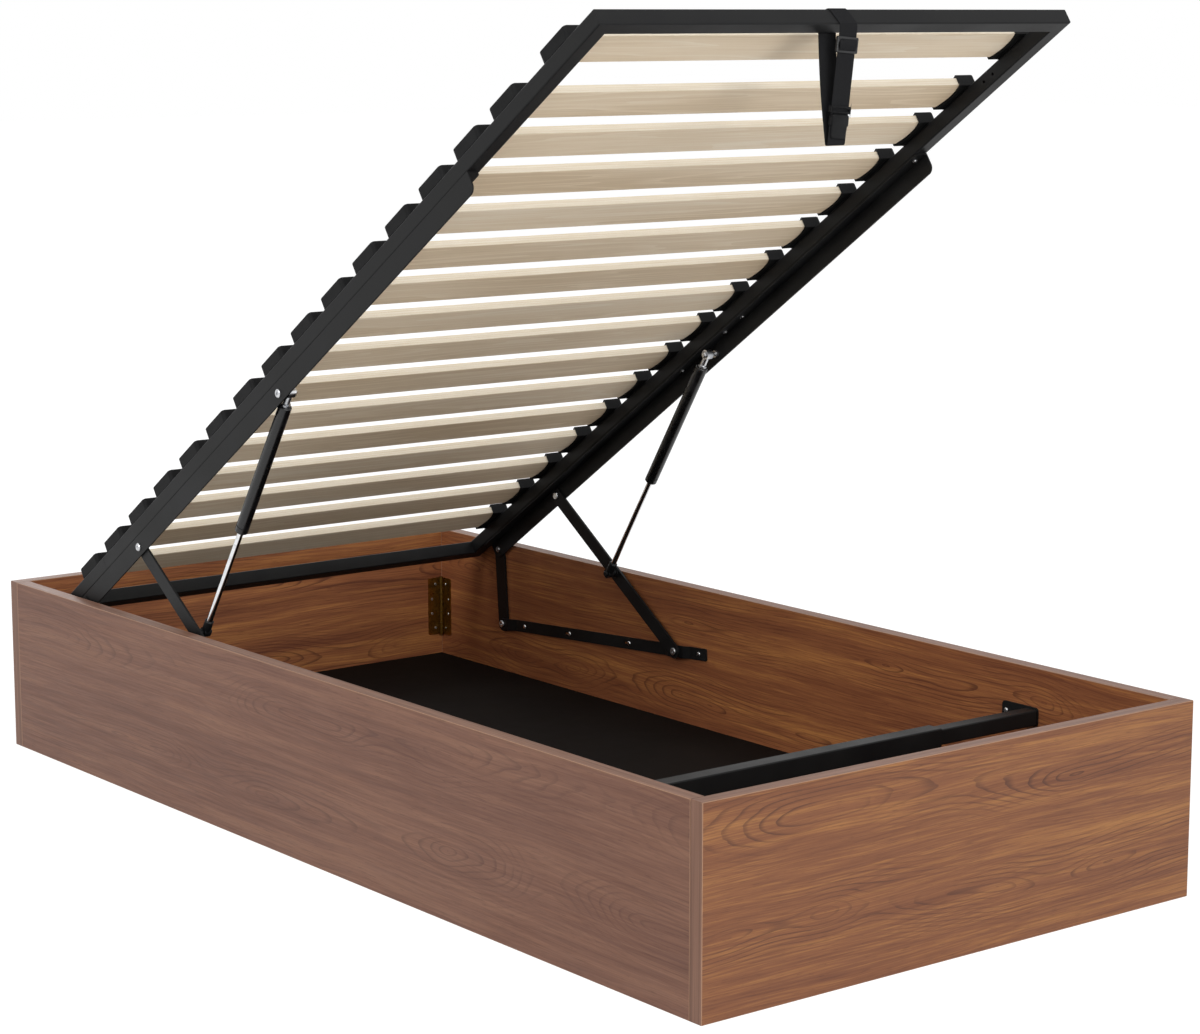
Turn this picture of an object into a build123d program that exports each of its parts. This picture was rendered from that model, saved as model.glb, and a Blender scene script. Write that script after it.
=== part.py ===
from build123d import *
import os
from math import atan2, cos, degrees, hypot, radians, sin, sqrt

# Gas-lift storage bed, single size, shown with its slatted base raised.
# Millimetres. X runs across the bed, Y along it with the head at +Y, Z up.
# The origin is on the floor under the middle of the box.
# Right-hand pieces are drawn at +X and mirrored for the left.

os.makedirs("parts", exist_ok=True)

# Box
box_width = 960.0
box_length = 1960.0
panel_height = 305.0
panel_thickness = 25.0
panel_edge_round = 1.2

# Floor sheet, and the battens that carry it
batten_size = 20.0
batten_underside = 28.0
floor_sheet_thickness = 5.0
floor_sheet_clearance = 2.0

# Butt hinge in each inner corner of the box
hinge_height = 115.0
hinge_underside = 92.0
hinge_leaf_width = 25.0
hinge_leaf_thickness = 2.0
hinge_knuckle_radius = 4.0
hinge_knuckle_count = 5
hinge_knuckle_gap = 0.3
hinge_pin_radius = 2.0
hinge_pin_head_radius = 3.2
hinge_pin_head_height = 1.5
hinge_leaf_corner = 4.0
hinge_screw_inset = 13.0
hinge_screw_near = 8.0
hinge_screw_far = 17.0

# Screws: every shank has a hole of its own, a little larger
screw_shank_radius = 2.0
screw_head_radius = 4.2
screw_head_height = 2.0
screw_head_bevel = 1.2
screw_depth = 12.0
small_screw_shank_radius = 1.5
small_screw_head_radius = 2.8
small_screw_head_height = 0.6
small_screw_head_bevel = 0.36
small_screw_depth = 9.0
pin_clearance = 0.05
overcut = 1.0

# Lift linkage, seen from the side. The frame's closed place and its raised place are set here.
# Each base pivot stands off the middle of its frame pivot's travel, square to that travel, so
# that a link of one length reaches in both places.
frame_below_panel_top = 63.1
closed_pivot_from_head_panel = 92.4
open_angle = 34.0
rear_pivot_shift = 112.4
rear_pivot_lift = 68.1
frame_pivot_spacing = 233.3
pivot_drop = 17.0
rear_pivot_standoff = 131.3
front_pivot_standoff = 412.6
spring_pivot_spacing = 554.3
link_stud_along = 208.7
link_stud_offset = 2.9

# Flat pieces of the linkage, and the gaps between them across the bed
rear_link_width = 30.0
rear_link_thickness = 3.0
rear_link_wall_gap = 1.6
front_link_width = 26.0
front_link_thickness = 4.0
link_gap = 0.4
running_gap = 0.3
pivot_radius = 4.0
pivot_head_radius = 7.0
pivot_head_height = 2.6
pivot_head_bevel = 1.0
clench_radius = 6.0
clench_wall_gap = 0.6
hex_socket_radius = 2.6
hex_socket_depth = 1.6

# Base rail on the side panel
rail_width = 22.0
rail_thickness = 3.0
rail_tab_reach = 80.5
foot_tongue_reach = 20.5
foot_joggle = 15.0
head_tongue_reach = 17.0
head_joggle = 25.0
rail_tab_corner = 3.6
rail_tab_screw = 60.0
rail_foot_slot_screw = 141.0
rail_head_slot_screw = 323.0
rail_head_screw = 466.0
rail_slot_length = 14.0

# Lift frame of square tube
tube_size = 25.0
tube_wall = 1.5
tube_corner = 2.5
foot_gap = 29.5
rear_pivot_to_frame_head = 70.0
side_seam_from_head = 177.0
seam_width = 0.4
sleeve_length = 160.0
sleeve_clearance = 0.2
frame_hole_from_foot = 158.0
frame_hole_pitch = 22.0
frame_hole_radius = 2.5

# Top rail, an angle under each side tube
angle_thickness = 2.5
angle_drop = 32.0
angle_foot_from_spring = 632.4
angle_end_radius = 15.0
angle_corner = 12.0
angle_foot_screw = 18.9
angle_middle_screw = 525.9
angle_middle_screw_pitch = 54.0
angle_head_screw = 720.9
angle_screw_inset = 12.0
frame_screw_depth = 8.0

# Slats and their moulded caps
slat_count = 16
slat_width = 65.0
slat_thickness = 13.0
slat_edge_round = 1.5
first_slat_from_foot = 104.0
first_slat_pitch = 142.0
last_slat_from_head = 114.0
cap_length = 70.0
cap_floor = 4.0
cap_roof = 4.3
cap_reach_past_tube = 18.0
cap_inset = 3.0
cap_scallop = 9.0
cap_end_wall = 4.5
cap_corner = 7.0
cap_top_round = 2.5
cap_foot_height = 1.6
cap_foot_inset = 1.8
cap_peg_radius = 4.0
cap_peg_depth = 7.0
slat_clearance = 0.2

# Gas springs, along their own axis from the upper stud
spring_standoff = 14.6
cylinder_radius = 11.0
cylinder_wall = 1.5
cylinder_start = 26.5
cylinder_length = 264.0
cylinder_end_wall = 6.0
cylinder_shoulder = 3.5
cylinder_rim_bevel = 1.5
cylinder_groove_from_end = 14.0
cylinder_groove_width = 2.4
cylinder_groove_depth = 0.8
rod_radius = 5.0
rod_clearance = 0.08
piston_length = 9.0
piston_standback = 6.0
eye_radius = 8.5
eye_width = 12.0
ball_radius = 6.0
ball_clearance = 0.1
stud_neck_radius = 3.6
stud_neck_clearance = 0.5
stud_shoulder_radius = 6.5
stud_shoulder_height = 4.0
stud_nut_radius = 5.5
stud_nut_height = 4.0
stud_nut_bevel = 1.6
socket_neck_radius = 5.5
socket_nut_length = 3.7
socket_collar_radius = 7.5
socket_collar_length = 17.0
socket_collar_bevel = 1.5
collar_into_eye = 4.2
rod_short_of_eye = 2.0
link_boss_radius = 8.0
link_boss_height = 2.0
flush_head_radius = 5.0
flush_head_height = 0.6

# Support rail across the foot end, two tubes one inside the other
support_from_foot_panel = 280.0
support_outer_size = 30.0
support_inner_size = 25.0
support_wall = 1.5
support_outer_end = 240.0
support_overlap = 160.0
support_seat_gap = 0.3
bracket_thickness = 3.0
bracket_height = 30.0
bracket_foot_reach = 12.0
bracket_head_reach = 65.0
bracket_corner = 6.0
stub_length = 45.0
stub_clearance = 0.3
bracket_tube_gap = 2.0
bracket_screw_reach = 32.0

# Pull strap looped round the foot tube
webbing_width = 30.0
webbing_thickness = 1.6
front_strand_x = 12.0
rear_strand_x = -25.0
strap_end_x = -13.0
front_strand_top_x = 2.0
rear_strand_top_x = -17.0
strap_drop = 172.0
strap_end_gap = 5.0
strap_swing = 12.0
strap_swing_margin = 1.0
slider_width = 37.0
slider_height = 24.0
slider_thickness = 5.0
slider_corner = 2.5
slider_bar = 4.5
slider_below_tube = 22.0
buckle_width = 37.0
buckle_thickness = 10.0
buckle_plug_height = 16.0
buckle_socket_height = 40.0
buckle_socket_end_width = 33.0
buckle_socket_taper = 12.0
buckle_corner = 2.0
buckle_rim = 1.0
buckle_prong_width = 2.4
buckle_prong_length = 22.0
buckle_prong_thickness = 4.4
buckle_above_end = 40.0
strap_fit = 0.3

# Planes worked out from the sizes above
wall_x = box_width / 2 - panel_thickness
inside_y = box_length / 2 - panel_thickness
side_gap = link_gap + rear_link_thickness + rear_link_wall_gap
frame_x = wall_x - side_gap
tongue_outer_x = frame_x
tongue_inner_x = tongue_outer_x - rail_thickness
front_link_outer_x = tongue_inner_x - link_gap
front_link_inner_x = front_link_outer_x - front_link_thickness
rear_link_inner_x = frame_x + link_gap
rear_link_outer_x = rear_link_inner_x + rear_link_thickness
spring_x = front_link_inner_x - spring_standoff
floor_sheet_underside = batten_underside + batten_size


# The four-bar linkage: the frame is its coupler
closed_tube_underside = panel_height - frame_below_panel_top
closed_rear_pivot = (inside_y - closed_pivot_from_head_panel, closed_tube_underside - pivot_drop)
closed_front_pivot = (closed_rear_pivot[0] - frame_pivot_spacing, closed_rear_pivot[1])
rear_pivot = (closed_rear_pivot[0] - rear_pivot_shift, closed_rear_pivot[1] + rear_pivot_lift)
front_pivot = (
    rear_pivot[0] - frame_pivot_spacing * cos(radians(open_angle)),
    rear_pivot[1] + frame_pivot_spacing * sin(radians(open_angle)),
)


def base_pivot(closed, opened, standoff):
    """Return the base pivot that stands off the middle of a frame pivot's travel."""
    run = opened[0] - closed[0]
    rise = opened[1] - closed[1]
    travel = hypot(run, rise)
    y = (closed[0] + opened[0]) / 2 - standoff * rise / travel
    z = (closed[1] + opened[1]) / 2 + standoff * run / travel
    return (y, z)


base_rear_pivot = base_pivot(closed_rear_pivot, rear_pivot, rear_pivot_standoff)
base_front_pivot = base_pivot(closed_front_pivot, front_pivot, front_pivot_standoff)
front_link_length = hypot(front_pivot[0] - base_front_pivot[0], front_pivot[1] - base_front_pivot[1])

# The lift frame reaches from its head end, past the rear pivot, to the gap at the foot
frame_length = closed_rear_pivot[0] + rear_pivot_to_frame_head + inside_y - foot_gap
rear_pivot_place = frame_length - rear_pivot_to_frame_head
front_pivot_place = rear_pivot_place - frame_pivot_spacing
spring_pivot_place = front_pivot_place - spring_pivot_spacing

# Frame coordinates: Y from the foot end of the frame towards its head, Z up from its tubes'
# underside. The frame is drawn flat in them and then raised.
tilt_cos = cos(radians(open_angle))
tilt_sin = sin(radians(open_angle))
frame_foot_y = rear_pivot[0] - rear_pivot_place * tilt_cos + pivot_drop * tilt_sin
frame_foot_z = rear_pivot[1] + rear_pivot_place * tilt_sin + pivot_drop * tilt_cos
raised = Location((0, frame_foot_y, frame_foot_z), (-open_angle, 0, 0))


def from_frame(along, above):
    """Return the side-view place of a point given in frame coordinates."""
    y = frame_foot_y + along * tilt_cos + above * tilt_sin
    z = frame_foot_z - along * tilt_sin + above * tilt_cos
    return (y, z)


# Base rail coordinates: Y from the front pivot towards the rear one
rail_run = base_rear_pivot[0] - base_front_pivot[0]
rail_rise = base_rear_pivot[1] - base_front_pivot[1]
rail_length = hypot(rail_run, rail_rise)
rail_slope = degrees(atan2(rail_rise, rail_run))
on_rail = Location((0, base_front_pivot[0], base_front_pivot[1]), (rail_slope, 0, 0))

# Front link coordinates: Y from the lower pivot towards the upper one
front_link_angle = degrees(
    atan2(front_pivot[1] - base_front_pivot[1], front_pivot[0] - base_front_pivot[0])
)
on_front_link = Location((0, base_front_pivot[0], base_front_pivot[1]), (front_link_angle, 0, 0))
link_cos = cos(radians(front_link_angle))
link_sin = sin(radians(front_link_angle))
lower_stud = (
    base_front_pivot[0] + link_stud_along * link_cos - link_stud_offset * link_sin,
    base_front_pivot[1] + link_stud_along * link_sin + link_stud_offset * link_cos,
)
upper_stud = from_frame(spring_pivot_place, -pivot_drop)

# Gas spring coordinates: Y from the upper stud towards the lower one
spring_length = hypot(lower_stud[0] - upper_stud[0], lower_stud[1] - upper_stud[1])
spring_angle = degrees(atan2(lower_stud[1] - upper_stud[1], lower_stud[0] - upper_stud[0]))
on_spring = Location((spring_x, upper_stud[0], upper_stud[1]), (spring_angle, 0, 0))


# Shapes used by several pieces
def slab(x_range, y_range, z_range):
    """Return a block between these limits."""
    size = [high - low for low, high in (x_range, y_range, z_range)]
    centre = [(high + low) / 2 for low, high in (x_range, y_range, z_range)]
    return Pos(*centre) * Box(*size)


def plate(outline, x_inner, thickness):
    """Return a flat plate from an outline drawn in Y and Z."""
    return extrude(Plane.YZ.offset(x_inner) * outline, thickness, dir=(1, 0, 0))


def across(radius, x_start, x_end, at=(0, 0)):
    """Return a round bar lying across the bed at a side-view place."""
    middle = (x_start + x_end) / 2
    return Pos(middle, at[0], at[1]) * Rot(0, 90, 0) * Cylinder(radius, abs(x_end - x_start))


def along(radius, y_start, y_end):
    """Return a round bar along Y."""
    return Pos(0, (y_start + y_end) / 2, 0) * Rot(90, 0, 0) * Cylinder(radius, abs(y_end - y_start))


def across_head(radius, height, x_face, outwards, at):
    """Return a bolt head on a face across the bed, with a bevelled rim."""
    bar = Cylinder(radius, height)
    bar = chamfer(bar.edges().filter_by(GeomType.CIRCLE).sort_by(Axis.Z)[-1], pivot_head_bevel)
    return Pos(x_face + outwards * height / 2, at[0], at[1]) * Rot(0, 90 * outwards, 0) * bar


def hex_socket(x_face, outwards, at):
    """Return the tool that cuts a hexagon socket into a bolt head."""
    hexagon = extrude(RegularPolygon(hex_socket_radius, 6), hex_socket_depth * 2, both=True)
    reach = hexagon.bounding_box().size.Z / 2
    return Pos(x_face + outwards * (reach - hex_socket_depth), at[0], at[1]) * Rot(0, 90, 0) * hexagon


def bar_outline(start, end, width):
    """Return the outline of a flat bar with round ends about two side-view points."""
    length = hypot(end[0] - start[0], end[1] - start[1])
    angle = degrees(atan2(end[1] - start[1], end[0] - start[0]))
    middle = ((start[0] + end[0]) / 2, (start[1] + end[1]) / 2)
    return Pos(*middle) * Rot(0, 0, angle) * SlotCenterToCenter(length, width)


def square_tube(size, wall, y_start, y_end):
    """Return a square tube along Y, resting on Z zero and centred on X zero."""
    outer = RectangleRounded(size, size, tube_corner)
    inner = RectangleRounded(size - 2 * wall, size - 2 * wall, tube_corner - wall)
    section = Plane.XZ.offset(-y_start) * (Pos(0, size / 2) * (outer - inner))
    return extrude(section, y_end - y_start, dir=(0, 1, 0))


def left_of(shape):
    """Return the left-hand copy of a right-hand piece."""
    return mirror(shape, Plane.YZ)


def write(name, *shapes):
    """Write one named piece, or one group of like pieces."""
    solids = [solid for shape in shapes for solid in shape.solids()]
    export_step(solids[0] if len(solids) == 1 else Compound(solids), "parts/" + name + ".step")


def write_pair(name, *shapes):
    """Write the right-hand and left-hand pieces of a handed pair."""
    write(name + "_right", *shapes)
    write(name + "_left", *[left_of(shape) for shape in shapes])


def screw(shank_radius, head_radius, head_height, head_bevel, depth):
    """Return a screw that points down, with its head's underside at Z zero."""
    head = Pos(0, 0, head_height / 2) * Cylinder(head_radius, head_height)
    head = chamfer(head.edges().filter_by(GeomType.CIRCLE).sort_by(Axis.Z)[-1], head_bevel)
    return head + Pos(0, 0, -depth / 2) * Cylinder(shank_radius, depth)


def screw_hole(shank_radius, depth):
    """Return the tool that cuts the hole for a screw that points down from Z zero."""
    reach = depth + 3 * overcut
    return Pos(0, 0, 2 * overcut - reach / 2) * Cylinder(shank_radius + pin_clearance, reach)


# Corner hinges
def hinge_leaf(knuckles):
    """Return one leaf with some of the knuckles: pin on the Z axis, leaf towards +X."""
    pitch = hinge_height / hinge_knuckle_count
    leaf_start = hinge_knuckle_radius + hinge_knuckle_gap
    leaf_end = hinge_knuckle_radius + hinge_leaf_width
    face = hinge_knuckle_radius
    leaf = slab((leaf_start, leaf_end), (face - hinge_leaf_thickness, face), (0, hinge_height))
    outer_edges = leaf.edges().filter_by(Axis.Y).group_by(Axis.X)[-1]
    leaf = fillet(outer_edges, hinge_leaf_corner)
    for index in knuckles:
        low = index * pitch + hinge_knuckle_gap / 2
        high = (index + 1) * pitch - hinge_knuckle_gap / 2
        barrel = Pos(0, 0, (low + high) / 2) * Cylinder(hinge_knuckle_radius, high - low)
        web = slab((0, leaf_start), (face - hinge_leaf_thickness, face), (low, high))
        leaf = leaf + barrel + web
    bore = Pos(0, 0, hinge_height / 2) * Cylinder(hinge_pin_radius + pin_clearance, hinge_height + 2)
    return leaf - bore


def hinge_screw_locations():
    """Return where a leaf's screws go, each pointing into the panel at +Y."""
    face = hinge_knuckle_radius - hinge_leaf_thickness
    span = hinge_height - 2 * hinge_screw_inset
    reaches = (hinge_screw_near, hinge_screw_far, hinge_screw_far, hinge_screw_near)
    places = []
    for index, reach in enumerate(reaches):
        height = hinge_screw_inset + span * index / (len(reaches) - 1)
        places.append(Location((hinge_knuckle_radius + reach, face, height), (90, 0, 0)))
    return places


hinge_axis = (wall_x - hinge_knuckle_radius, inside_y - hinge_knuckle_radius)
# One leaf lies on the end panel and the other, turned over, on the side panel
end_knuckles = tuple(range(0, hinge_knuckle_count, 2))
side_knuckles = tuple(range(1, hinge_knuckle_count, 2))


def at_corner(shape):
    """Place a leaf's shape, drawn towards +X, on the head panel and towards the middle."""
    turned = mirror(shape, Plane.YZ)
    return Location((hinge_axis[0], hinge_axis[1], hinge_underside)) * turned


def on_side_panel(shape):
    """Place a leaf's shape, drawn towards +X against +Y, on the right side panel."""
    return Location((hinge_axis[0], hinge_axis[1], hinge_underside), (0, 0, -90)) * shape


def four_corners(shape):
    """Return a head-right corner's piece and its three mirrored copies."""
    right = [shape, mirror(shape, Plane.XZ)]
    return right + [left_of(piece) for piece in right]


hinge_screw = screw(
    small_screw_shank_radius,
    small_screw_head_radius,
    small_screw_head_height,
    small_screw_head_bevel,
    small_screw_depth,
)
hinge_screw_tool = screw_hole(small_screw_shank_radius, small_screw_depth)
leaf_screws = [place * hinge_screw for place in hinge_screw_locations()]
leaf_tools = [place * hinge_screw_tool for place in hinge_screw_locations()]


def drilled(shape, tools):
    """Return a shape with every tool cut out of it."""
    for tool in tools:
        shape = shape - tool
    return shape


def make_corner_hinges():
    """Write the leaves, pins and screws of the four corner hinges."""
    end_leaf = at_corner(drilled(hinge_leaf(end_knuckles), leaf_tools))
    side_leaf = on_side_panel(drilled(hinge_leaf(side_knuckles), leaf_tools))
    write("corner_hinge_leaves", *four_corners(end_leaf), *four_corners(side_leaf))
    pin = Pos(0, 0, hinge_height / 2) * Cylinder(hinge_pin_radius, hinge_height)
    for height in (-hinge_pin_head_height / 2, hinge_height + hinge_pin_head_height / 2):
        pin = pin + Pos(0, 0, height) * Cylinder(hinge_pin_head_radius, hinge_pin_head_height)
    pin = Location((hinge_axis[0], hinge_axis[1], hinge_underside)) * pin
    write("corner_hinge_pins", *four_corners(pin))
    screws = [at_corner(piece) for piece in leaf_screws]
    screws += [on_side_panel(piece) for piece in leaf_screws]
    write("hinge_screws", *[copy for piece in screws for copy in four_corners(piece)])


# Panels, battens and floor
def rail_screw_locations():
    """Return the base rail's screw places, each pointing into the right side panel."""
    places = []
    for along_rail in (-rail_tab_screw, rail_foot_slot_screw, rail_head_slot_screw, rail_head_screw):
        places.append(on_rail * Location((wall_x - rail_thickness, along_rail, 0), (0, -90, 0)))
    return places


support_y = -inside_y + support_from_foot_panel
support_top = closed_tube_underside - support_seat_gap
bracket_z = (support_top - bracket_height, support_top)


def bracket_screw_locations():
    """Return the support bracket's screw places, each pointing into the right side panel."""
    middle = (bracket_z[0] + bracket_z[1]) / 2
    y = support_y + bracket_screw_reach
    near = support_y + bracket_head_reach - bracket_corner * 1.5
    return [Location((wall_x - bracket_thickness, place, middle), (0, -90, 0)) for place in (y, near)]


def make_panels():
    """Write the four panels, with their screw holes."""
    side = slab(
        (wall_x, box_width / 2), (-inside_y, inside_y), (0, panel_height)
    )
    side = fillet(side.edges().filter_by(Axis.Y), panel_edge_round)
    tool = screw_hole(screw_shank_radius, screw_depth)
    holes = [place * tool for place in rail_screw_locations() + bracket_screw_locations()]
    holes += [on_side_panel(piece) for piece in leaf_tools]
    holes += [mirror(on_side_panel(piece), Plane.XZ) for piece in leaf_tools]
    write_pair("side_panel", drilled(side, holes))
    end = slab((-box_width / 2, box_width / 2), (inside_y, box_length / 2), (0, panel_height))
    end = fillet(end.edges(), panel_edge_round)
    holes = [at_corner(piece) for piece in leaf_tools]
    holes += [left_of(piece) for piece in holes]
    head = drilled(end, holes)
    write("head_panel", head)
    write("foot_panel", mirror(head, Plane.XZ))


def make_floor():
    """Write the floor sheet, and the battens and centre runner under it."""
    half_x = wall_x - floor_sheet_clearance
    half_y = inside_y - floor_sheet_clearance
    top = floor_sheet_underside + floor_sheet_thickness
    write("floor_panel", slab((-half_x, half_x), (-half_y, half_y), (floor_sheet_underside, top)))
    heights = (batten_underside, floor_sheet_underside)
    long_batten = slab((wall_x - batten_size, wall_x), (-inside_y, inside_y), heights)
    short_reach = wall_x - batten_size
    short_batten = slab((-short_reach, short_reach), (inside_y - batten_size, inside_y), heights)
    runner_reach = inside_y - batten_size
    runner = slab(
        (-batten_size / 2, batten_size / 2), (-runner_reach, runner_reach), (0, floor_sheet_underside)
    )
    pieces = [long_batten, left_of(long_batten), short_batten, mirror(short_batten, Plane.XZ), runner]
    write("floor_battens", *pieces)


# Base rails, and the pins they carry
def base_rail():
    """Return the right base rail: a flat bar pressed inwards at both of its pivots."""
    stations = [
        (-rail_tab_reach, wall_x),
        (-foot_tongue_reach - foot_joggle, wall_x),
        (-foot_tongue_reach, tongue_outer_x),
        (foot_tongue_reach, tongue_outer_x),
        (foot_tongue_reach + foot_joggle, wall_x),
        (rail_length - head_tongue_reach - head_joggle, wall_x),
        (rail_length - head_tongue_reach, tongue_outer_x),
        (rail_length + rail_width, tongue_outer_x),
    ]
    outer = [(x, y) for y, x in stations]
    inner = [(x - rail_thickness, y) for y, x in reversed(stations)]
    pressed = extrude(Polygon(*outer, *inner, align=None), rail_width, both=True)
    side = bar_outline((0, 0), (rail_length, 0), rail_width)
    tab = Pos(-rail_tab_reach / 2, 0) * Rectangle(rail_tab_reach, rail_width)
    reach = wall_x - tongue_inner_x + 2 * overcut
    rail = pressed & plate(side + tab, tongue_inner_x - overcut, reach)
    tab_corners = rail.edges().filter_by(Axis.X).group_by(Axis.Y)[0]
    rail = fillet(tab_corners, rail_tab_corner)
    for pivot in (0, rail_length):
        hole = across(pivot_radius + pin_clearance, tongue_inner_x - overcut, wall_x + overcut, (pivot, 0))
        rail = rail - hole
    hole_radius = screw_shank_radius + pin_clearance
    for place in (-rail_tab_screw, rail_head_screw):
        rail = rail - across(hole_radius, tongue_inner_x, wall_x + overcut, (place, 0))
    for place in (rail_foot_slot_screw, rail_head_slot_screw):
        slot = bar_outline((place, 0), (place + rail_slot_length, 0), 2 * hole_radius)
        rail = rail - plate(slot, tongue_inner_x, wall_x - tongue_inner_x + overcut)
    return on_rail * rail


def base_pivot_pin(at, head_face, tail_face, tail_x):
    """Return a pin across the bed: a domed head inboard and a clenched end outboard."""
    pin = across(pivot_radius, head_face, tail_face, at)
    pin = pin + across_head(pivot_head_radius, pivot_head_height, head_face, -1, at)
    pin = pin - hex_socket(head_face - pivot_head_height, -1, at)
    return pin + across(clench_radius, tail_face, tail_x, at)


def make_base_rails():
    """Write the base rails, their pivot pins and the screws into the side panels."""
    write_pair("base_rail", base_rail())
    rear = base_pivot_pin(
        base_rear_pivot,
        tongue_inner_x,
        rear_link_outer_x + running_gap,
        wall_x - running_gap,
    )
    front = base_pivot_pin(
        base_front_pivot,
        front_link_inner_x - running_gap,
        tongue_outer_x,
        wall_x - clench_wall_gap,
    )
    write("base_pivot_pins", rear, front, left_of(rear), left_of(front))
    body = screw(
        screw_shank_radius, screw_head_radius, screw_head_height, screw_head_bevel, screw_depth
    )
    screws = [place * body for place in rail_screw_locations() + bracket_screw_locations()]
    write("box_screws", *screws, *[left_of(piece) for piece in screws])


# Links
def front_link():
    """Return the right front link, with the boss that faces the gas spring's stud."""
    link = plate(bar_outline((0, 0), (front_link_length, 0), front_link_width), front_link_inner_x,
                 front_link_thickness)
    hole = pivot_radius + pin_clearance
    for place in (0, front_link_length):
        link = link - across(hole, front_link_inner_x - overcut, front_link_outer_x + overcut, (place, 0))
    stud = (link_stud_along, link_stud_offset)
    boss = across(link_boss_radius, front_link_inner_x - link_boss_height, front_link_inner_x, stud)
    head = across(flush_head_radius, front_link_outer_x, front_link_outer_x + flush_head_height, stud)
    return on_front_link * (link + boss + head)


def rear_link():
    """Return the right rear link, with the clenched end of its upper rivet."""
    link = plate(
        bar_outline(base_rear_pivot, rear_pivot, rear_link_width),
        rear_link_inner_x,
        rear_link_thickness,
    )
    hole = pivot_radius + pin_clearance
    link = link - across(hole, rear_link_inner_x - overcut, rear_link_outer_x + overcut, base_rear_pivot)
    clench = across(clench_radius, rear_link_outer_x, wall_x - clench_wall_gap, rear_pivot)
    return link + clench


# Lift frame, drawn flat in frame coordinates
def mitred(tube, at_start, at_end, y_start, y_end):
    """Return a side tube cut at 45 degrees where it meets a cross tube."""
    reach = tube_size * 4
    for wanted, y, way in ((at_start, y_start, 1), (at_end, y_end, -1)):
        if wanted:
            corner = Polygon(
                (frame_x, y),
                (frame_x - reach, y + way * reach),
                (frame_x - reach, y - way * reach),
                (frame_x, y - way * reach),
                align=None,
            )
            tube = tube - extrude(corner, reach, both=True)
    return tube


def side_tube_lengths():
    """Return the right side tube: two lengths that meet over a sleeve."""
    middle = frame_x - tube_size / 2
    seam = frame_length - side_seam_from_head
    long_end = seam - seam_width / 2
    short_start = seam + seam_width / 2
    long_length = Pos(middle, 0, 0) * square_tube(tube_size, tube_wall, 0, long_end)
    long_length = mitred(long_length, True, False, 0, long_end)
    for place in (frame_hole_from_foot, frame_hole_from_foot + frame_hole_pitch):
        long_length = long_length - across(
            frame_hole_radius,
            frame_x - tube_size - overcut,
            frame_x - tube_size + 2 * tube_wall,
            (place, tube_size / 2),
        )
    short_length = Pos(middle, 0, 0) * square_tube(tube_size, tube_wall, short_start, frame_length)
    short_length = mitred(short_length, False, True, short_start, frame_length)
    bore = tube_size - 2 * tube_wall - 2 * sleeve_clearance
    sleeve = square_tube(bore, tube_wall, seam - sleeve_length / 2, seam + sleeve_length / 2)
    sleeve = Pos(middle, 0, tube_wall + sleeve_clearance) * sleeve
    return long_length, short_length, sleeve


def cross_tube(at_head):
    """Return the foot or head tube, mitred at both ends."""
    tube = Rot(0, 0, -90) * square_tube(tube_size, tube_wall, -frame_x, frame_x)
    y = frame_length - tube_size / 2 if at_head else tube_size / 2
    tube = Pos(0, y, 0) * tube
    outer_y = frame_length if at_head else 0
    way = -1 if at_head else 1
    reach = tube_size * 4
    corner = Polygon(
        (frame_x, outer_y),
        (frame_x - reach, outer_y + way * reach),
        (frame_x + reach, outer_y + way * reach),
        (frame_x + reach, outer_y),
        align=None,
    )
    tool = extrude(corner, reach, both=True)
    return tube - tool - left_of(tool)


top_rail_foot = spring_pivot_place - angle_foot_from_spring


def angle_screw_locations():
    """Return the top rail's screw places in frame coordinates, each pointing up."""
    x = frame_x - angle_screw_inset
    places = (
        angle_foot_screw,
        angle_middle_screw,
        angle_middle_screw + angle_middle_screw_pitch,
        angle_head_screw,
    )
    return [Location((x, top_rail_foot + place, -angle_thickness), (180, 0, 0)) for place in places]


def top_rail():
    """Return the right top rail: an angle whose upright leg carries the pivots."""
    foot = top_rail_foot
    head = rear_pivot_place + angle_end_radius
    leg = Pos((foot + head) / 2, -angle_drop / 2) * Rectangle(head - foot, angle_drop)
    foot_corner = leg.vertices().group_by(Axis.X)[0].sort_by(Axis.Y)[0]
    leg = fillet([foot_corner], angle_corner)
    head_corner = leg.vertices().group_by(Axis.X)[-1].sort_by(Axis.Y)[0]
    leg = fillet([head_corner], angle_end_radius)
    rail = plate(leg, frame_x - angle_thickness, angle_thickness)
    flange = slab((frame_x - tube_size, frame_x), (foot, head), (-angle_thickness, 0))
    inner_corners = flange.edges().filter_by(Axis.Z).group_by(Axis.X)[0]
    rail = rail + fillet(inner_corners, angle_corner)
    hole = pivot_radius + pin_clearance
    for place in (rear_pivot_place, front_pivot_place, spring_pivot_place):
        at = (place, -pivot_drop)
        rail = rail - across(hole, frame_x - 2 * angle_thickness, frame_x + overcut, at)
    tool = screw_hole(screw_shank_radius, frame_screw_depth)
    return drilled(rail, [place * tool for place in angle_screw_locations()])


def slat_places():
    """Return the slats' centres along the frame, foot end first."""
    second = first_slat_from_foot + first_slat_pitch
    last = frame_length - last_slat_from_head
    pitch = (last - second) / (slat_count - 2)
    return [first_slat_from_foot] + [second + pitch * index for index in range(slat_count - 1)]


slat_underside = tube_size + cap_floor
slat_end = frame_x - cap_inset - cap_end_wall - slat_clearance


def slat(place):
    """Return one straight plywood slat."""
    board = slab(
        (-slat_end, slat_end),
        (place - slat_width / 2, place + slat_width / 2),
        (slat_underside, slat_underside + slat_thickness),
    )
    return fillet(board.edges().filter_by(Axis.X), slat_edge_round)


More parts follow.
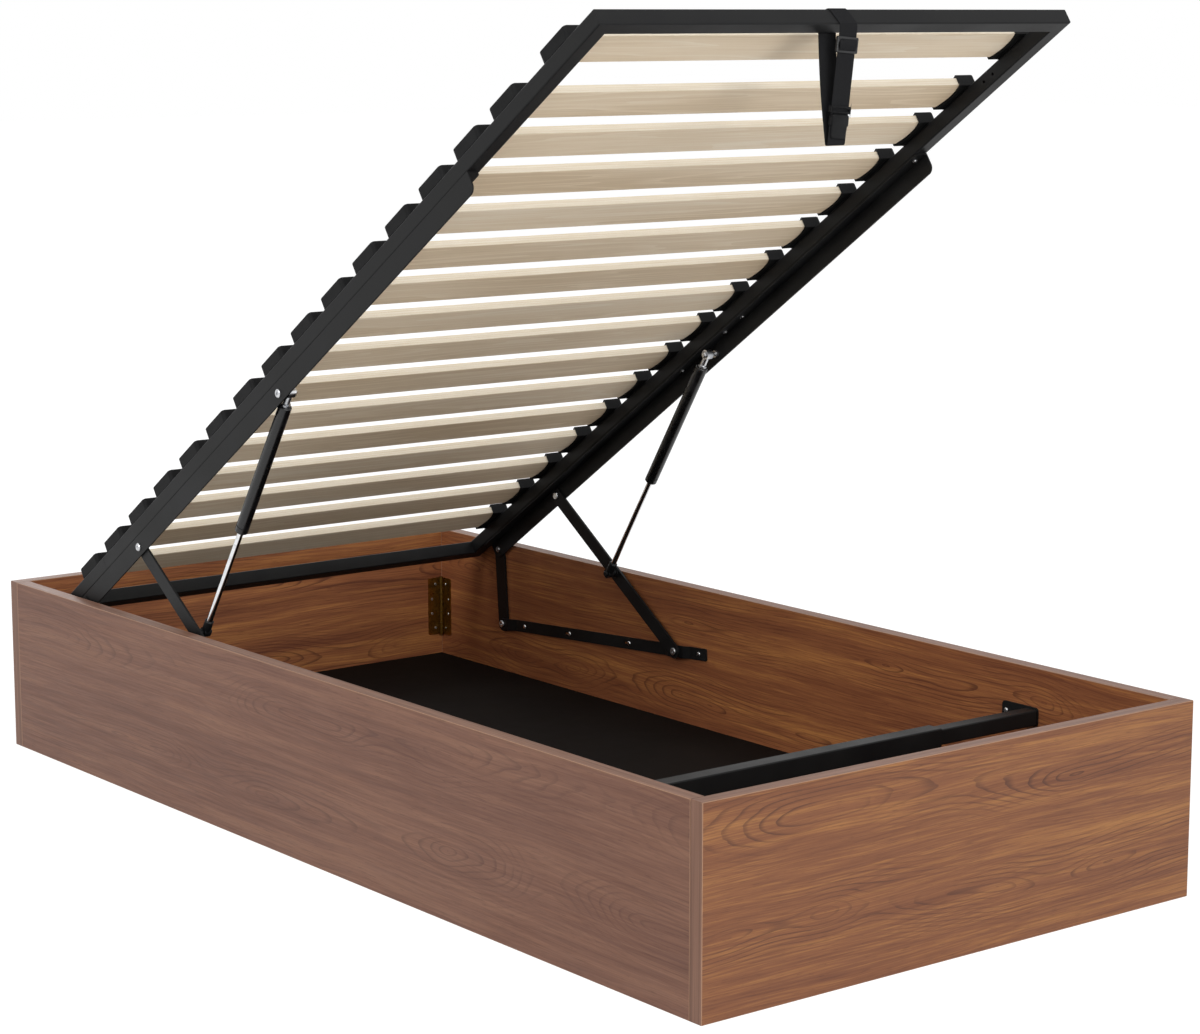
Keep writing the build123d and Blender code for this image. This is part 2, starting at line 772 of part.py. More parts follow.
def slat_cap():
    """Return a right-hand moulded cap, with its slat's centre at Y zero."""
    outer_x = frame_x - cap_inset
    inner_x = frame_x - tube_size - cap_reach_past_tube
    top = slat_underside + slat_thickness + slat_clearance + cap_roof
    half = cap_length / 2
    blank = slab((inner_x, outer_x), (-half, half), (tube_size + cap_foot_height, top))
    blank = fillet(blank.edges().filter_by(Axis.Z).group_by(Axis.X)[-1], cap_corner)
    blank = fillet(blank.faces().sort_by(Axis.Z)[-1].edges().group_by(Axis.X)[-1], cap_top_round)
    foot_end = outer_x - cap_foot_inset
    foot_half = half - cap_foot_inset
    foot = slab((frame_x - tube_size, foot_end), (-foot_half, foot_half),
                (tube_size, tube_size + cap_foot_height))
    cap = blank + foot
    scallop_radius = (half**2 + cap_scallop**2) / (2 * cap_scallop)
    scallop = Cylinder(scallop_radius, top * 4)
    cap = cap - Pos(inner_x + cap_scallop - scallop_radius, 0, 0) * scallop
    room = slat_clearance
    pocket = slab(
        (inner_x - overcut, slat_end + room),
        (-slat_width / 2 - room, slat_width / 2 + room),
        (slat_underside, slat_underside + slat_thickness + room),
    )
    cap = cap - pocket
    peg_x = frame_x - tube_size / 2
    peg = Pos(peg_x, 0, tube_size - cap_peg_depth / 2) * Cylinder(cap_peg_radius, cap_peg_depth)
    return cap + peg


def peg_holes():
    """Return the tools that cut the caps' peg holes in the right side tube."""
    hole = Cylinder(cap_peg_radius + pin_clearance, 2 * (cap_peg_depth + overcut))
    return [Pos(frame_x - tube_size / 2, place, tube_size) * hole for place in slat_places()]


def frame_pivot_bolts():
    """Return the right-hand bolts through the top rail's leg at its two pivots."""
    leg_inner = frame_x - angle_thickness
    front_at = (front_pivot_place, -pivot_drop)
    tail = front_link_inner_x - running_gap
    front = across(pivot_radius, tail, frame_x, front_at)
    front = front + across_head(pivot_head_radius, pivot_head_height, tail, -1, front_at)
    front = front + across_head(pivot_head_radius, pivot_head_height, frame_x, 1, front_at)
    front = front - hex_socket(frame_x + pivot_head_height, 1, front_at)
    rear_at = (rear_pivot_place, -pivot_drop)
    rear = across(pivot_radius, leg_inner, frame_x + link_gap - running_gap, rear_at)
    rear = rear + across_head(clench_radius, pivot_head_height, leg_inner, -1, rear_at)
    return front, rear


# Gas springs, drawn along their own axis
def turned(outline):
    """Return a solid turned about the line across the bed, from its outline's open side."""
    ends = Polyline((outline.position_at(1).X, 0), (outline.position_at(0).X, 0))
    start = Line((outline.position_at(0).X, 0), outline.position_at(0))
    end = Line(outline.position_at(1), (outline.position_at(1).X, 0))
    return revolve(make_face(Curve() + [start, outline, end, ends]), Axis.X)


def ball_stud(x_base):
    """Return a ball stud: shoulder at its base, neck, ball on the origin, and nut past it."""
    neck_reach = sqrt(ball_radius**2 - stud_neck_radius**2)
    shoulder_end = x_base - stud_shoulder_height
    nut_start = -eye_width / 2 - running_gap
    nut_end = nut_start - stud_nut_height
    base = Polyline(
        (x_base, stud_shoulder_radius),
        (shoulder_end, stud_shoulder_radius),
        (shoulder_end, stud_neck_radius),
        (neck_reach, stud_neck_radius),
    )
    ball = ThreePointArc((neck_reach, stud_neck_radius), (0, ball_radius), (-neck_reach, stud_neck_radius))
    nut = Polyline(
        (-neck_reach, stud_neck_radius),
        (nut_start, stud_neck_radius),
        (nut_start, stud_nut_radius),
        (nut_end + stud_nut_bevel, stud_nut_radius),
        (nut_end, stud_nut_radius - stud_nut_bevel),
    )
    return turned(Wire([*base.edges(), *ball.edges(), *nut.edges()]))


def eye():
    """Return the round eye that holds a ball, centred on the origin."""
    return across(eye_radius, -eye_width / 2, eye_width / 2)


def eye_room():
    """Return the tool that cuts the ball's seat and the way through an eye."""
    seat = ball_radius + ball_clearance
    way = stud_neck_radius + stud_neck_clearance
    reach = sqrt(seat**2 - way**2)
    first = Line((eye_width, way), (reach, way))
    middle = ThreePointArc((reach, way), (0, seat), (-reach, way))
    last = Line((-reach, way), (-eye_width, way))
    return turned(Wire([*first.edges(), *middle.edges(), *last.edges()]))


def upper_socket():
    """Return the upper socket: an eye on a neck that screws into the cylinder's end."""
    neck = along(socket_neck_radius, 0, cylinder_start)
    nut = along(socket_collar_radius, cylinder_start - socket_nut_length, cylinder_start)
    return eye() + neck + nut - eye_room()


def lower_socket():
    """Return the lower socket: a collar on the rod, and an eye."""
    start = spring_length - eye_radius - socket_collar_length
    collar = along(socket_collar_radius, start, spring_length - eye_radius + collar_into_eye)
    collar = chamfer(collar.edges().filter_by(GeomType.CIRCLE).sort_by(Axis.Y)[0], socket_collar_bevel)
    place = Pos(0, spring_length, 0)
    return collar + place * eye() - place * eye_room() - along(rod_radius, 0, rod_end)


rod_end = spring_length - eye_radius - rod_short_of_eye
cylinder_end = cylinder_start + cylinder_length


def gas_cylinder():
    """Return the hollow cylinder, closed at the top and with a guide for the rod."""
    body = along(cylinder_radius, cylinder_start, cylinder_end)
    rims = body.edges().filter_by(GeomType.CIRCLE).sort_by(Axis.Y)
    body = fillet(rims[0], cylinder_shoulder)
    rims = body.edges().filter_by(GeomType.CIRCLE).sort_by(Axis.Y)
    body = chamfer(rims[-1], cylinder_rim_bevel)
    bore_start = cylinder_start + cylinder_end_wall
    bore_end = cylinder_end - cylinder_end_wall
    body = body - along(cylinder_radius - cylinder_wall, bore_start, bore_end)
    groove_start = cylinder_end - cylinder_groove_from_end
    groove_end = groove_start + cylinder_groove_width
    groove = along(cylinder_radius + overcut, groove_start, groove_end)
    body = body - (groove - along(cylinder_radius - cylinder_groove_depth, groove_start, groove_end))
    return body - along(rod_radius + rod_clearance, bore_end - overcut, cylinder_end + overcut)


def gas_rod():
    """Return the rod with its piston, drawn out."""
    piston_end = cylinder_end - cylinder_end_wall - piston_standback
    piston_radius = cylinder_radius - cylinder_wall - rod_clearance
    piston = along(piston_radius, piston_end - piston_length, piston_end)
    return along(rod_radius, piston_end - piston_length, rod_end) + piston


def make_gas_springs():
    """Write the gas springs, their sockets and the studs they hang on."""
    write_pair("gas_cylinder", on_spring * gas_cylinder())
    write_pair("gas_cylinder_socket", on_spring * upper_socket())
    write_pair("gas_rod", on_spring * gas_rod())
    stud_base = front_link_inner_x - link_boss_height - running_gap - spring_x
    lower = Pos(0, spring_length, 0) * ball_stud(stud_base)
    write_pair("gas_rod_socket", on_spring * lower_socket(), on_spring * lower)
    at = (0, 0)
    leg_inner = frame_x - angle_thickness - spring_x
    leg_outer = frame_x - spring_x
    upper = ball_stud(leg_inner) + across(pivot_radius, leg_inner, leg_outer, at)
    upper = upper + across_head(pivot_head_radius, pivot_head_height, leg_outer, 1, at)
    upper = upper - hex_socket(leg_outer + pivot_head_height, 1, at)
    upper = on_spring * upper
    write("upper_gas_studs", upper, left_of(upper))


# Support rail
def support_bracket():
    """Return the right support bracket: a wall plate with a stub for the inner tube."""
    span = bracket_foot_reach + bracket_head_reach
    centre_y = support_y + (bracket_head_reach - bracket_foot_reach) / 2
    outline = Pos(centre_y, sum(bracket_z) / 2) * RectangleRounded(span, bracket_height, bracket_corner)
    wall_plate = plate(outline, wall_x - bracket_thickness, bracket_thickness)
    tool = screw_hole(screw_shank_radius, screw_depth)
    return drilled(wall_plate, [place * tool for place in bracket_screw_locations()])


def support_stub(tube):
    """Return the stub that the given size of tube slips over, on the right bracket."""
    size = tube - 2 * support_wall - 2 * stub_clearance
    middle = support_top - support_outer_size / 2
    low = middle - size / 2
    x_range = (wall_x - bracket_thickness - stub_length, wall_x - bracket_thickness)
    return slab(x_range, (support_y - size / 2, support_y + size / 2), (low, low + size))


def make_support_rail():
    """Write the support rail's two tubes and its brackets."""
    tube_end = wall_x - bracket_thickness - bracket_tube_gap
    middle = support_top - support_outer_size / 2
    outer = Rot(0, 0, -90) * square_tube(support_outer_size, support_wall, -tube_end, support_outer_end)
    outer = Pos(0, support_y, middle - support_outer_size / 2) * outer
    inner_start = support_outer_end - support_overlap
    inner = Rot(0, 0, -90) * square_tube(support_inner_size, support_wall, inner_start, tube_end)
    inner = Pos(0, support_y, middle - support_inner_size / 2) * inner
    write("support_rail_outer", outer)
    write("support_rail_inner", inner)
    right = support_bracket() + support_stub(support_inner_size)
    left = left_of(support_bracket() + support_stub(support_outer_size))
    write("support_brackets", right, left)


# Pull strap: it hangs straight down, so it is drawn upright and not in frame coordinates
front_corner = from_frame(0, 0)
rear_corner = from_frame(tube_size, 0)
strap_pivot = from_frame(tube_size / 2, 0)
strap_top = strap_pivot[1] - running_gap
strap_end = strap_pivot[1] - strap_drop
# The rear strand starts outside this radius, so it clears the tube as it swings
strap_clear_radius = (tube_size / 2 + webbing_thickness) / cos(radians(strap_swing + strap_swing_margin))


def strand(top_x, top_y, end_y, extra):
    """Return one hanging strand of webbing, enlarged all round by extra."""
    size = (webbing_width + 2 * extra, webbing_thickness + 2 * extra)
    top = Plane((top_x, top_y, strap_top + extra)) * Rectangle(*size)
    end = Plane((strap_end_x, end_y, strap_end - extra)) * Rectangle(*size)
    return loft([top, end], ruled=True)


front_top_y = front_corner[0] - webbing_thickness / 2
rear_top_y = rear_corner[0] + webbing_thickness / 2
end_middle_y = (front_top_y + rear_top_y) / 2
front_end_y = end_middle_y - strap_end_gap / 2
rear_end_y = end_middle_y + strap_end_gap / 2


def strap_loop(extra=0.0):
    """Return the two strands and the bend that joins them."""
    front = strand(front_strand_x, front_top_y, front_end_y, extra)
    rear = strand(rear_strand_x, rear_top_y, rear_end_y, extra)
    rear = rear - across(strap_clear_radius - extra, -wall_x, wall_x, strap_pivot)
    outer = (strap_end_gap + webbing_thickness) / 2 + extra
    inner = outer - webbing_thickness - 2 * extra
    half = webbing_width / 2 + extra
    reach = half + overcut
    bend = across(outer, -half, half) - across(inner, -reach, reach)
    bend = bend & slab((-reach, reach), (-outer - overcut, outer + overcut), (-outer - overcut, extra))
    return front + rear + Pos(strap_end_x, end_middle_y, strap_end) * bend


def strap_wrap():
    """Return the webbing that lies round the foot tube, in frame coordinates."""
    half = webbing_width / 2
    thick = webbing_thickness
    over = tube_size + thick
    front = Polygon((front_strand_x - half, 0), (front_strand_x + half, 0),
                    (front_strand_top_x + half, over), (front_strand_top_x - half, over), align=None)
    front = extrude(Plane.XZ * front, thick, dir=(0, -1, 0))
    top = Polygon((front_strand_top_x - half, -thick), (front_strand_top_x + half, -thick),
                  (rear_strand_top_x + half, over), (rear_strand_top_x - half, over), align=None)
    top = Pos(0, 0, tube_size) * extrude(top, thick)
    rear = Polygon((rear_strand_x - half, 0), (rear_strand_x + half, 0),
                   (rear_strand_top_x + half, over), (rear_strand_top_x - half, over), align=None)
    rear = extrude(Plane.XZ.offset(-tube_size) * rear, thick, dir=(0, 1, 0))
    return front + top + rear


def strand_centre(drop):
    """Return where the front strand's middle is, this far below the tube."""
    share = (drop - running_gap) / (strap_drop - running_gap)
    x = front_strand_x + (strap_end_x - front_strand_x) * share
    y = front_top_y + (front_end_y - front_top_y) * share
    return x, y, strap_pivot[1] - drop


strand_lean = degrees(atan2(front_strand_x - strap_end_x, strap_drop - running_gap))
strand_pitch = degrees(atan2(front_end_y - front_top_y, strap_drop - running_gap))


def on_strand(drop):
    """Return the place on the front strand this far below the tube, turned to lie along it."""
    return Pos(*strand_centre(drop)) * Rot(strand_pitch, strand_lean, 0)


def strap_slider():
    """Return the three-bar slider on the front strand."""
    frame = Box(slider_width, slider_thickness, slider_height)
    frame = fillet(frame.edges().filter_by(Axis.Y), slider_corner)
    window = Box(webbing_width, slider_thickness, slider_height - 2 * slider_bar)
    frame = frame - Pos(0, -slider_thickness / 2, 0) * window
    return on_strand(slider_below_tube) * frame - strap_loop(strap_fit)


def buckle_prong_room(fit):
    """Return the two side prongs of the buckle, enlarged by a fit, hanging from Z zero."""
    outer = buckle_width / 2 + fit
    inner = buckle_width / 2 - buckle_prong_width - fit
    half = buckle_prong_thickness / 2 + fit
    right = slab((inner, outer), (-half, half), (-buckle_prong_length - fit, 0))
    return right + left_of(right)


def rimmed(outline):
    """Return a buckle half from its outline, with rounded corners and a bevelled rim."""
    outline = fillet(outline.vertices(), buckle_corner)
    body = extrude(Plane.XZ * outline, buckle_thickness / 2, both=True)
    faces = body.faces().sort_by(Axis.Y)
    return chamfer(faces[0].edges() + faces[-1].edges(), buckle_rim)


def make_strap_buckle():
    """Write the side release buckle: a plug with two prongs, and the socket that they catch in."""
    place = on_strand(strap_drop - buckle_above_end)
    mouth = (buckle_socket_height - buckle_plug_height) / 2
    half = buckle_width / 2
    plug_outline = Pos(0, mouth + buckle_plug_height / 2) * Rectangle(buckle_width, buckle_plug_height)
    plug = rimmed(plug_outline) + Pos(0, 0, mouth + buckle_corner) * buckle_prong_room(0)
    socket_top = mouth - strap_fit
    socket_end = mouth - buckle_socket_height
    end_half = buckle_socket_end_width / 2
    socket_outline = Polygon(
        (-half, socket_top),
        (half, socket_top),
        (half, socket_end + buckle_socket_taper),
        (end_half, socket_end),
        (-end_half, socket_end),
        (-half, socket_end + buckle_socket_taper),
        align=None,
    )
    socket = rimmed(socket_outline) - Pos(0, 0, mouth + buckle_corner) * buckle_prong_room(strap_fit)
    room = strap_loop(strap_fit)
    write("strap_buckle_plug", place * plug - room)
    write("strap_buckle_socket", place * socket - room)


def make_lift_frame():
    """Write everything that is fixed to the lift frame."""
    long_length, short_length, sleeve = side_tube_lengths()
    tool = screw_hole(screw_shank_radius, frame_screw_depth)
    tube_holes = peg_holes() + [place * tool for place in angle_screw_locations()]
    tube = [drilled(piece, tube_holes) for piece in (long_length, short_length, sleeve)]
    write_pair("side_tube", *[raised * piece for piece in tube])
    write("foot_tube", raised * cross_tube(False))
    write("head_tube", raised * cross_tube(True))
    write_pair("top_rail", raised * top_rail())
    body = screw(
        screw_shank_radius, screw_head_radius, screw_head_height, screw_head_bevel, frame_screw_depth
    )
    screws = [raised * (place * body) for place in angle_screw_locations()]
    write("frame_screws", *screws, *[left_of(piece) for piece in screws])
    bolts = [raised * bolt for bolt in frame_pivot_bolts()]
    write("frame_pivot_bolts", *bolts, *[left_of(bolt) for bolt in bolts])
    places = slat_places()
    for index, place in enumerate(places):
        write("slat_%02d" % (index + 1), raised * slat(place))
    cap = slat_cap()
    write_pair("slat_caps", *[raised * (Pos(0, place, 0) * cap) for place in places])
    write("pull_strap_wrap", raised * strap_wrap())


def report_kinematics():
    """Print the pivots and joint travels that follow from the sizes."""
    closed_link = degrees(
        atan2(
            closed_front_pivot[1] - base_front_pivot[1],
            closed_front_pivot[0] - base_front_pivot[0],
        )
    )
    open_rear = degrees(
        atan2(rear_pivot[1] - base_rear_pivot[1], rear_pivot[0] - base_rear_pivot[0])
    )
    closed_rear = degrees(
        atan2(
            closed_rear_pivot[1] - base_rear_pivot[1],
            closed_rear_pivot[0] - base_rear_pivot[0],
        )
    )
    closed_upper = (closed_front_pivot[0] - spring_pivot_spacing, closed_front_pivot[1])
    cosine = cos(radians(closed_link))
    sine = sin(radians(closed_link))
    closed_lower = (
        base_front_pivot[0] + link_stud_along * cosine - link_stud_offset * sine,
        base_front_pivot[1] + link_stud_along * sine + link_stud_offset * cosine,
    )
    run = closed_lower[0] - closed_upper[0]
    rise = closed_lower[1] - closed_upper[1]
    print("base rear pivot", base_rear_pivot)
    print("base front pivot", base_front_pivot)
    print("frame rear pivot", rear_pivot, "closed", closed_rear_pivot)
    print("frame front pivot", front_pivot, "closed", closed_front_pivot)
    print("upper stud", upper_stud, "lower stud", lower_stud)
    print("front link travel", front_link_angle - closed_link)
    print("rear link travel", open_rear - closed_rear)
    print("frame travel", open_angle)
    print("spring angle open", spring_angle, "closed", degrees(atan2(rise, run)))
    print("spring length open", spring_length, "closed", hypot(run, rise))
    print("strap pivot", strap_pivot)
    print("frame length", frame_length, "spring plane", spring_x)
    print("closed tube underside", closed_tube_underside, "frame foot", (frame_foot_y, frame_foot_z))


make_panels()
make_floor()
make_corner_hinges()
make_base_rails()
make_support_rail()
write_pair("front_link", front_link())
write_pair("rear_link", rear_link())
make_lift_frame()
make_gas_springs()
write("pull_strap_drop", strap_loop())
write("strap_slider", strap_slider())
make_strap_buckle()
report_kinematics()
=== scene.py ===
"""Dress the gas-lift storage bed: finishes, webbing, small fittings, light and camera."""

import logging
import math
from dataclasses import dataclass
from enum import Enum
from typing import Iterable, Mapping, Optional, Sequence, Union

import bmesh
import bpy
from mathutils import Matrix, Vector

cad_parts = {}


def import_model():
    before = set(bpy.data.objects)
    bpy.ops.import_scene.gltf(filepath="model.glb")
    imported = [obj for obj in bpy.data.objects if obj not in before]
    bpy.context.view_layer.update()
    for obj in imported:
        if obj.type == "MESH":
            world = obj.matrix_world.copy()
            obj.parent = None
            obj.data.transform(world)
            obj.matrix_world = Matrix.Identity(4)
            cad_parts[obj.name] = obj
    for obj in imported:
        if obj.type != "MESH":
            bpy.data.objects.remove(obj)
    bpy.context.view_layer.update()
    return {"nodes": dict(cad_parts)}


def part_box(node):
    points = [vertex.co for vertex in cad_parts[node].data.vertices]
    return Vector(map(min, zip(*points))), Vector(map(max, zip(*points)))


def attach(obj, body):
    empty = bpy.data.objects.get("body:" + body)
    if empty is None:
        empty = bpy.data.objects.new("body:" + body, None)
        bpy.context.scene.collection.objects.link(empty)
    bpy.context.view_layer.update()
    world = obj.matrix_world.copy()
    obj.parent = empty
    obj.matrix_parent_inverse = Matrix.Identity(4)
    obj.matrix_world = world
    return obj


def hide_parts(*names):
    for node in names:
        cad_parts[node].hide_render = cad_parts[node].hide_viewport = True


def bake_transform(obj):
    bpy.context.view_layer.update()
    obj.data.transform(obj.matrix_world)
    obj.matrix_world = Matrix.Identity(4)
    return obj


LOG = logging.getLogger("storage_bed")
MILLIMETRE = 0.001
OPEN_ANGLE = math.radians(34.0)
SHARP_ANGLE = 1.0  # radians
WELD_DISTANCE = 1e-6
Point = tuple[float, float, float]
Rgba = tuple[float, float, float, float]
Span = tuple[float, float]  # from, to
Step = tuple[float, float, float, float]  # low, high, and the results at both
WHITE: Rgba = (1.0, 1.0, 1.0, 1.0)


def tint(code: str) -> Rgba:
    """Turn a hex colour, as it is seen, into the linear colour that a shader takes.

    Args:
        code: Six hex digits after a hash sign.

    Returns:
        Linear red, green and blue by the sRGB curve, with an alpha of one.
    """
    parts = [int(code[start:start + 2], 16) / 255 for start in (1, 3, 5)]
    linear = [
        part / 12.92 if part <= 0.04045 else ((part + 0.055) / 1.055) ** 2.4 for part in parts
    ]
    return (linear[0], linear[1], linear[2], 1.0)


def pair(name: str) -> tuple[str, str]:
    """Return the names of the left and the right node of a pair."""
    return f"{name}_left", f"{name}_right"


class Along(Enum):
    """The way that a board's grain runs."""

    WIDTH = "X"
    LENGTH = "Y"


@dataclass(frozen=True)
class Texture:
    """Cloudy noise that is the same in every direction."""

    scale: float = 1.0
    detail: float = 2.0
    rough: float = 0.5


@dataclass(frozen=True)
class Layer:
    """Noise in a grain: it changes slowly along the grain and quickly across it.

    The shift keeps the layers of one finish apart. The centre is taken off the noise, and the
    share is what it is multiplied by.
    """

    along: float
    across: float
    shift: float = 0.0
    detail: float = 2.0
    rough: float = 0.5
    centre: float = 0.0
    share: float = 1.0

    def texture(self) -> Texture:
        """Return the noise that a stretched place is fed to."""
        return Texture(1.0, self.detail, self.rough)


@dataclass(frozen=True)
class Skin:
    """How a finish takes the light: the depth and strength of its relief, and its gloss."""

    relief: float
    strength: float = 0.4
    specular: float = 0.5
    metallic: float = 0.0


class Value:
    """A shader socket that takes arithmetic: each operation adds one Math node."""

    def __init__(self, graph: "Graph", socket: bpy.types.NodeSocket) -> None:
        """Wrap one output socket of a graph."""
        self.graph = graph
        self.socket = socket

    def math(self, operation: str, first: "Term", second: "Term" = 0.0) -> "Value":
        """Add a Math node for an operation on two terms and return its result."""
        return self.graph.node("ShaderNodeMath", {"operation": operation}, {0: first, 1: second})

    def __add__(self, other: "Term") -> "Value":
        """Return the sum."""
        return self.math("ADD", self, other)

    def __sub__(self, other: "Term") -> "Value":
        """Return the difference."""
        return self.math("SUBTRACT", self, other)

    def __rsub__(self, other: "Term") -> "Value":
        """Return the difference, taken from a number."""
        return self.math("SUBTRACT", other, self)

    def __mul__(self, other: "Term") -> "Value":
        """Return the product."""
        return self.math("MULTIPLY", self, other)

    def __truediv__(self, other: "Term") -> "Value":
        """Return the quotient."""
        return self.math("DIVIDE", self, other)

    def __gt__(self, other: "Term") -> "Value":
        """Return one where this is greater, and zero elsewhere."""
        return self.math("GREATER_THAN", self, other)

    def __lt__(self, other: "Term") -> "Value":
        """Return one where this is less, and zero elsewhere."""
        return self.math("LESS_THAN", self, other)

    def __abs__(self) -> "Value":
        """Return the size without its sign."""
        return self.math("ABSOLUTE", self)

    def root(self) -> "Value":
        """Return the square root."""
        return self.math("SQRT", self)

    def fraction(self) -> "Value":
        """Return the part after the decimal point."""
        return self.math("FRACT", self)

    def either(self, other: "Term") -> "Value":
        """Return the greater of two masks."""
        return self.math("MAXIMUM", self, other)

    def wave(self) -> "Value":
        """Return the sine, moved into the range from zero to one."""
        return self.math("SINE", self) * 0.5 + 0.5

    def ease(self, low: float, high: float, start: float = 0.0, end: float = 1.0) -> "Value":
        """Return a smooth step between two values of this socket.

        Args:
            low: Where the step begins.
            high: Where it ends.
            start: The result below low.
            end: The result above high.

        Returns:
            The stepped value.
        """
        settings = {"interpolation_type": "SMOOTHSTEP"}
        limits = {"Value": self, "From Min": low, "From Max": high, "To Min": start, "To Max": end}
        return self.graph.node("ShaderNodeMapRange", settings, limits)


Term = Union[Value, float, int]
Colour = Union[Value, Rgba]


class Graph:
    """A node graph: that of a new material, or of the surroundings."""

    def __init__(self, owner: Union[bpy.types.Material, bpy.types.World]) -> None:
        """Start with an empty graph on a material or a world."""
        self.owner = owner
        owner.use_nodes = True
        self.tree = owner.node_tree
        self.tree.nodes.clear()

    @classmethod
    def for_material(cls, name: str) -> "Graph":
        """Return the empty graph of a new material."""
        return cls(bpy.data.materials.new(name))

    def node(
        self,
        kind: str,
        settings: Mapping[str, object],
        sockets: Mapping[Union[int, str], object],
        output: Union[int, str] = 0,
    ) -> Value:
        """Add a node and return one of its outputs.

        Args:
            kind: The node's type.
            settings: Its properties, set first. The key stops fills a colour ramp.
            sockets: Numbers, colours or links for its inputs, by name or place.
            output: The output to return.

        Returns:
            The chosen output.
        """
        made = self.tree.nodes.new(kind)
        for key, setting in settings.items():
            if key == "stops":
                self._fill_ramp(made.color_ramp, setting)
            else:
                setattr(made, key, setting)
        for key, term in sockets.items():
            if isinstance(term, Value):
                self.tree.links.new(term.socket, made.inputs[key])
            else:
                made.inputs[key].default_value = term
        return Value(self, made.outputs[output])

    @staticmethod
    def _fill_ramp(ramp: bpy.types.ColorRamp, stops: Sequence[tuple[float, Rgba]]) -> None:
        """Give a colour ramp its stops."""
        while len(ramp.elements) < len(stops):
            ramp.elements.new(1.0)
        for element, (place, colour) in zip(ramp.elements, stops):
            element.position = place
            element.color = colour

    def place(self, origin: Point = (0, 0, 0), turn: float = 0.0) -> Value:
        """Return the object's own coordinates, seen from an origin and turned about X.

        Args:
            origin: The point that becomes zero.
            turn: How far the pattern's axes are turned about X, in radians.

        Returns:
            The turned coordinates.
        """
        raw = self.node("ShaderNodeTexCoord", {}, {}, "Object")
        sockets = {0: raw, "Location": origin, "Rotation": (turn, 0, 0)}
        return self.node("ShaderNodeMapping", {"vector_type": "TEXTURE"}, sockets)

    def parts(self, vector: Value) -> tuple[Value, Value, Value]:
        """Return the three numbers of a vector."""
        split = self.node("ShaderNodeSeparateXYZ", {}, {0: vector})
        outputs = split.socket.node.outputs
        return split, Value(self, outputs[1]), Value(self, outputs[2])

    def vector(self, x: Term, y: Term, z: Term) -> Value:
        """Return a vector made from three terms."""
        return self.node("ShaderNodeCombineXYZ", {}, {0: x, 1: y, 2: z})

    def noise(self, vector: Value, texture: Texture) -> Value:
        """Return cloudy noise around one half."""
        sockets = {
            "Vector": vector,
            "Scale": texture.scale,
            "Detail": texture.detail,
            "Roughness": texture.rough,
        }
        return self.node("ShaderNodeTexNoise", {}, sockets)

    def layer(self, layer: Layer, along: Term, across: Term, seed: Term) -> Value:
        """Return one layer of a grain. The seed tells this piece or side from the others."""
        place = self.vector(along * layer.along, across * layer.across, seed + layer.shift)
        noise = self.noise(place, layer.texture())
        if layer.centre:
            noise = noise - layer.centre
        return noise if layer.share == 1.0 else noise * layer.share

    def fibre(self, layer: Layer, along: Value, across: Value, through: Value) -> Value:
        """Return fibres that run along a grain and are narrow in both ways across it."""
        place = self.vector(along * layer.along, across * layer.across, through * layer.across)
        return self.noise(place, layer.texture())

    def ramp(self, factor: Term, stops: Sequence[tuple[float, str]]) -> Value:
        """Return the colour of a ramp at a factor, from stops with hex colours."""
        filled = [(place, tint(code)) for place, code in stops]
        return self.node("ShaderNodeValToRGB", {"stops": filled}, {0: factor})

    def mix(self, factor: Term, first: Colour, second: Colour, blend: str = "MIX") -> Value:
        """Return a mix of two colours or of two vectors."""
        settings = {"data_type": "RGBA", "blend_type": blend}
        return self.node("ShaderNodeMix", settings, {0: factor, 6: first, 7: second}, 2)

    def finish(
        self, colour: Value, rough: Value, height: Value, skin: Skin
    ) -> bpy.types.Material:
        """Close the graph with one surface shader and return the material."""
        relief = {"Height": height, "Distance": skin.relief, "Strength": skin.strength}
        sockets = {
            "Base Color": colour,
            "Metallic": skin.metallic,
            "Roughness": rough,
            "Specular IOR Level": skin.specular,
            "Normal": self.node("ShaderNodeBump", {}, relief),
        }
        self.close("ShaderNodeOutputMaterial", self.node("ShaderNodeBsdfPrincipled", {}, sockets))
        return self.owner

    def close(self, kind: str, surface: Value) -> None:
        """Link a shader to an output node of this kind."""
        output = self.tree.nodes.new(kind)
        self.tree.links.new(surface.socket, output.inputs["Surface"])


@dataclass(frozen=True)
class WalnutTone:
    """The colours of a board's foil, how strongly its figure shows, and the painted light on its
    inner face.
    """

    light: str = "#9f6d3e"
    main: str = "#7f5032"
    dark: str = "#653b26"
    line: str = "#43241a"
    figure_strength: float = 0.72
    # Painted light: the inner face's foil is multiplied by this, so the shaded inside of the box
    # reads brighter.
    inner_painted_light: float = 1.42


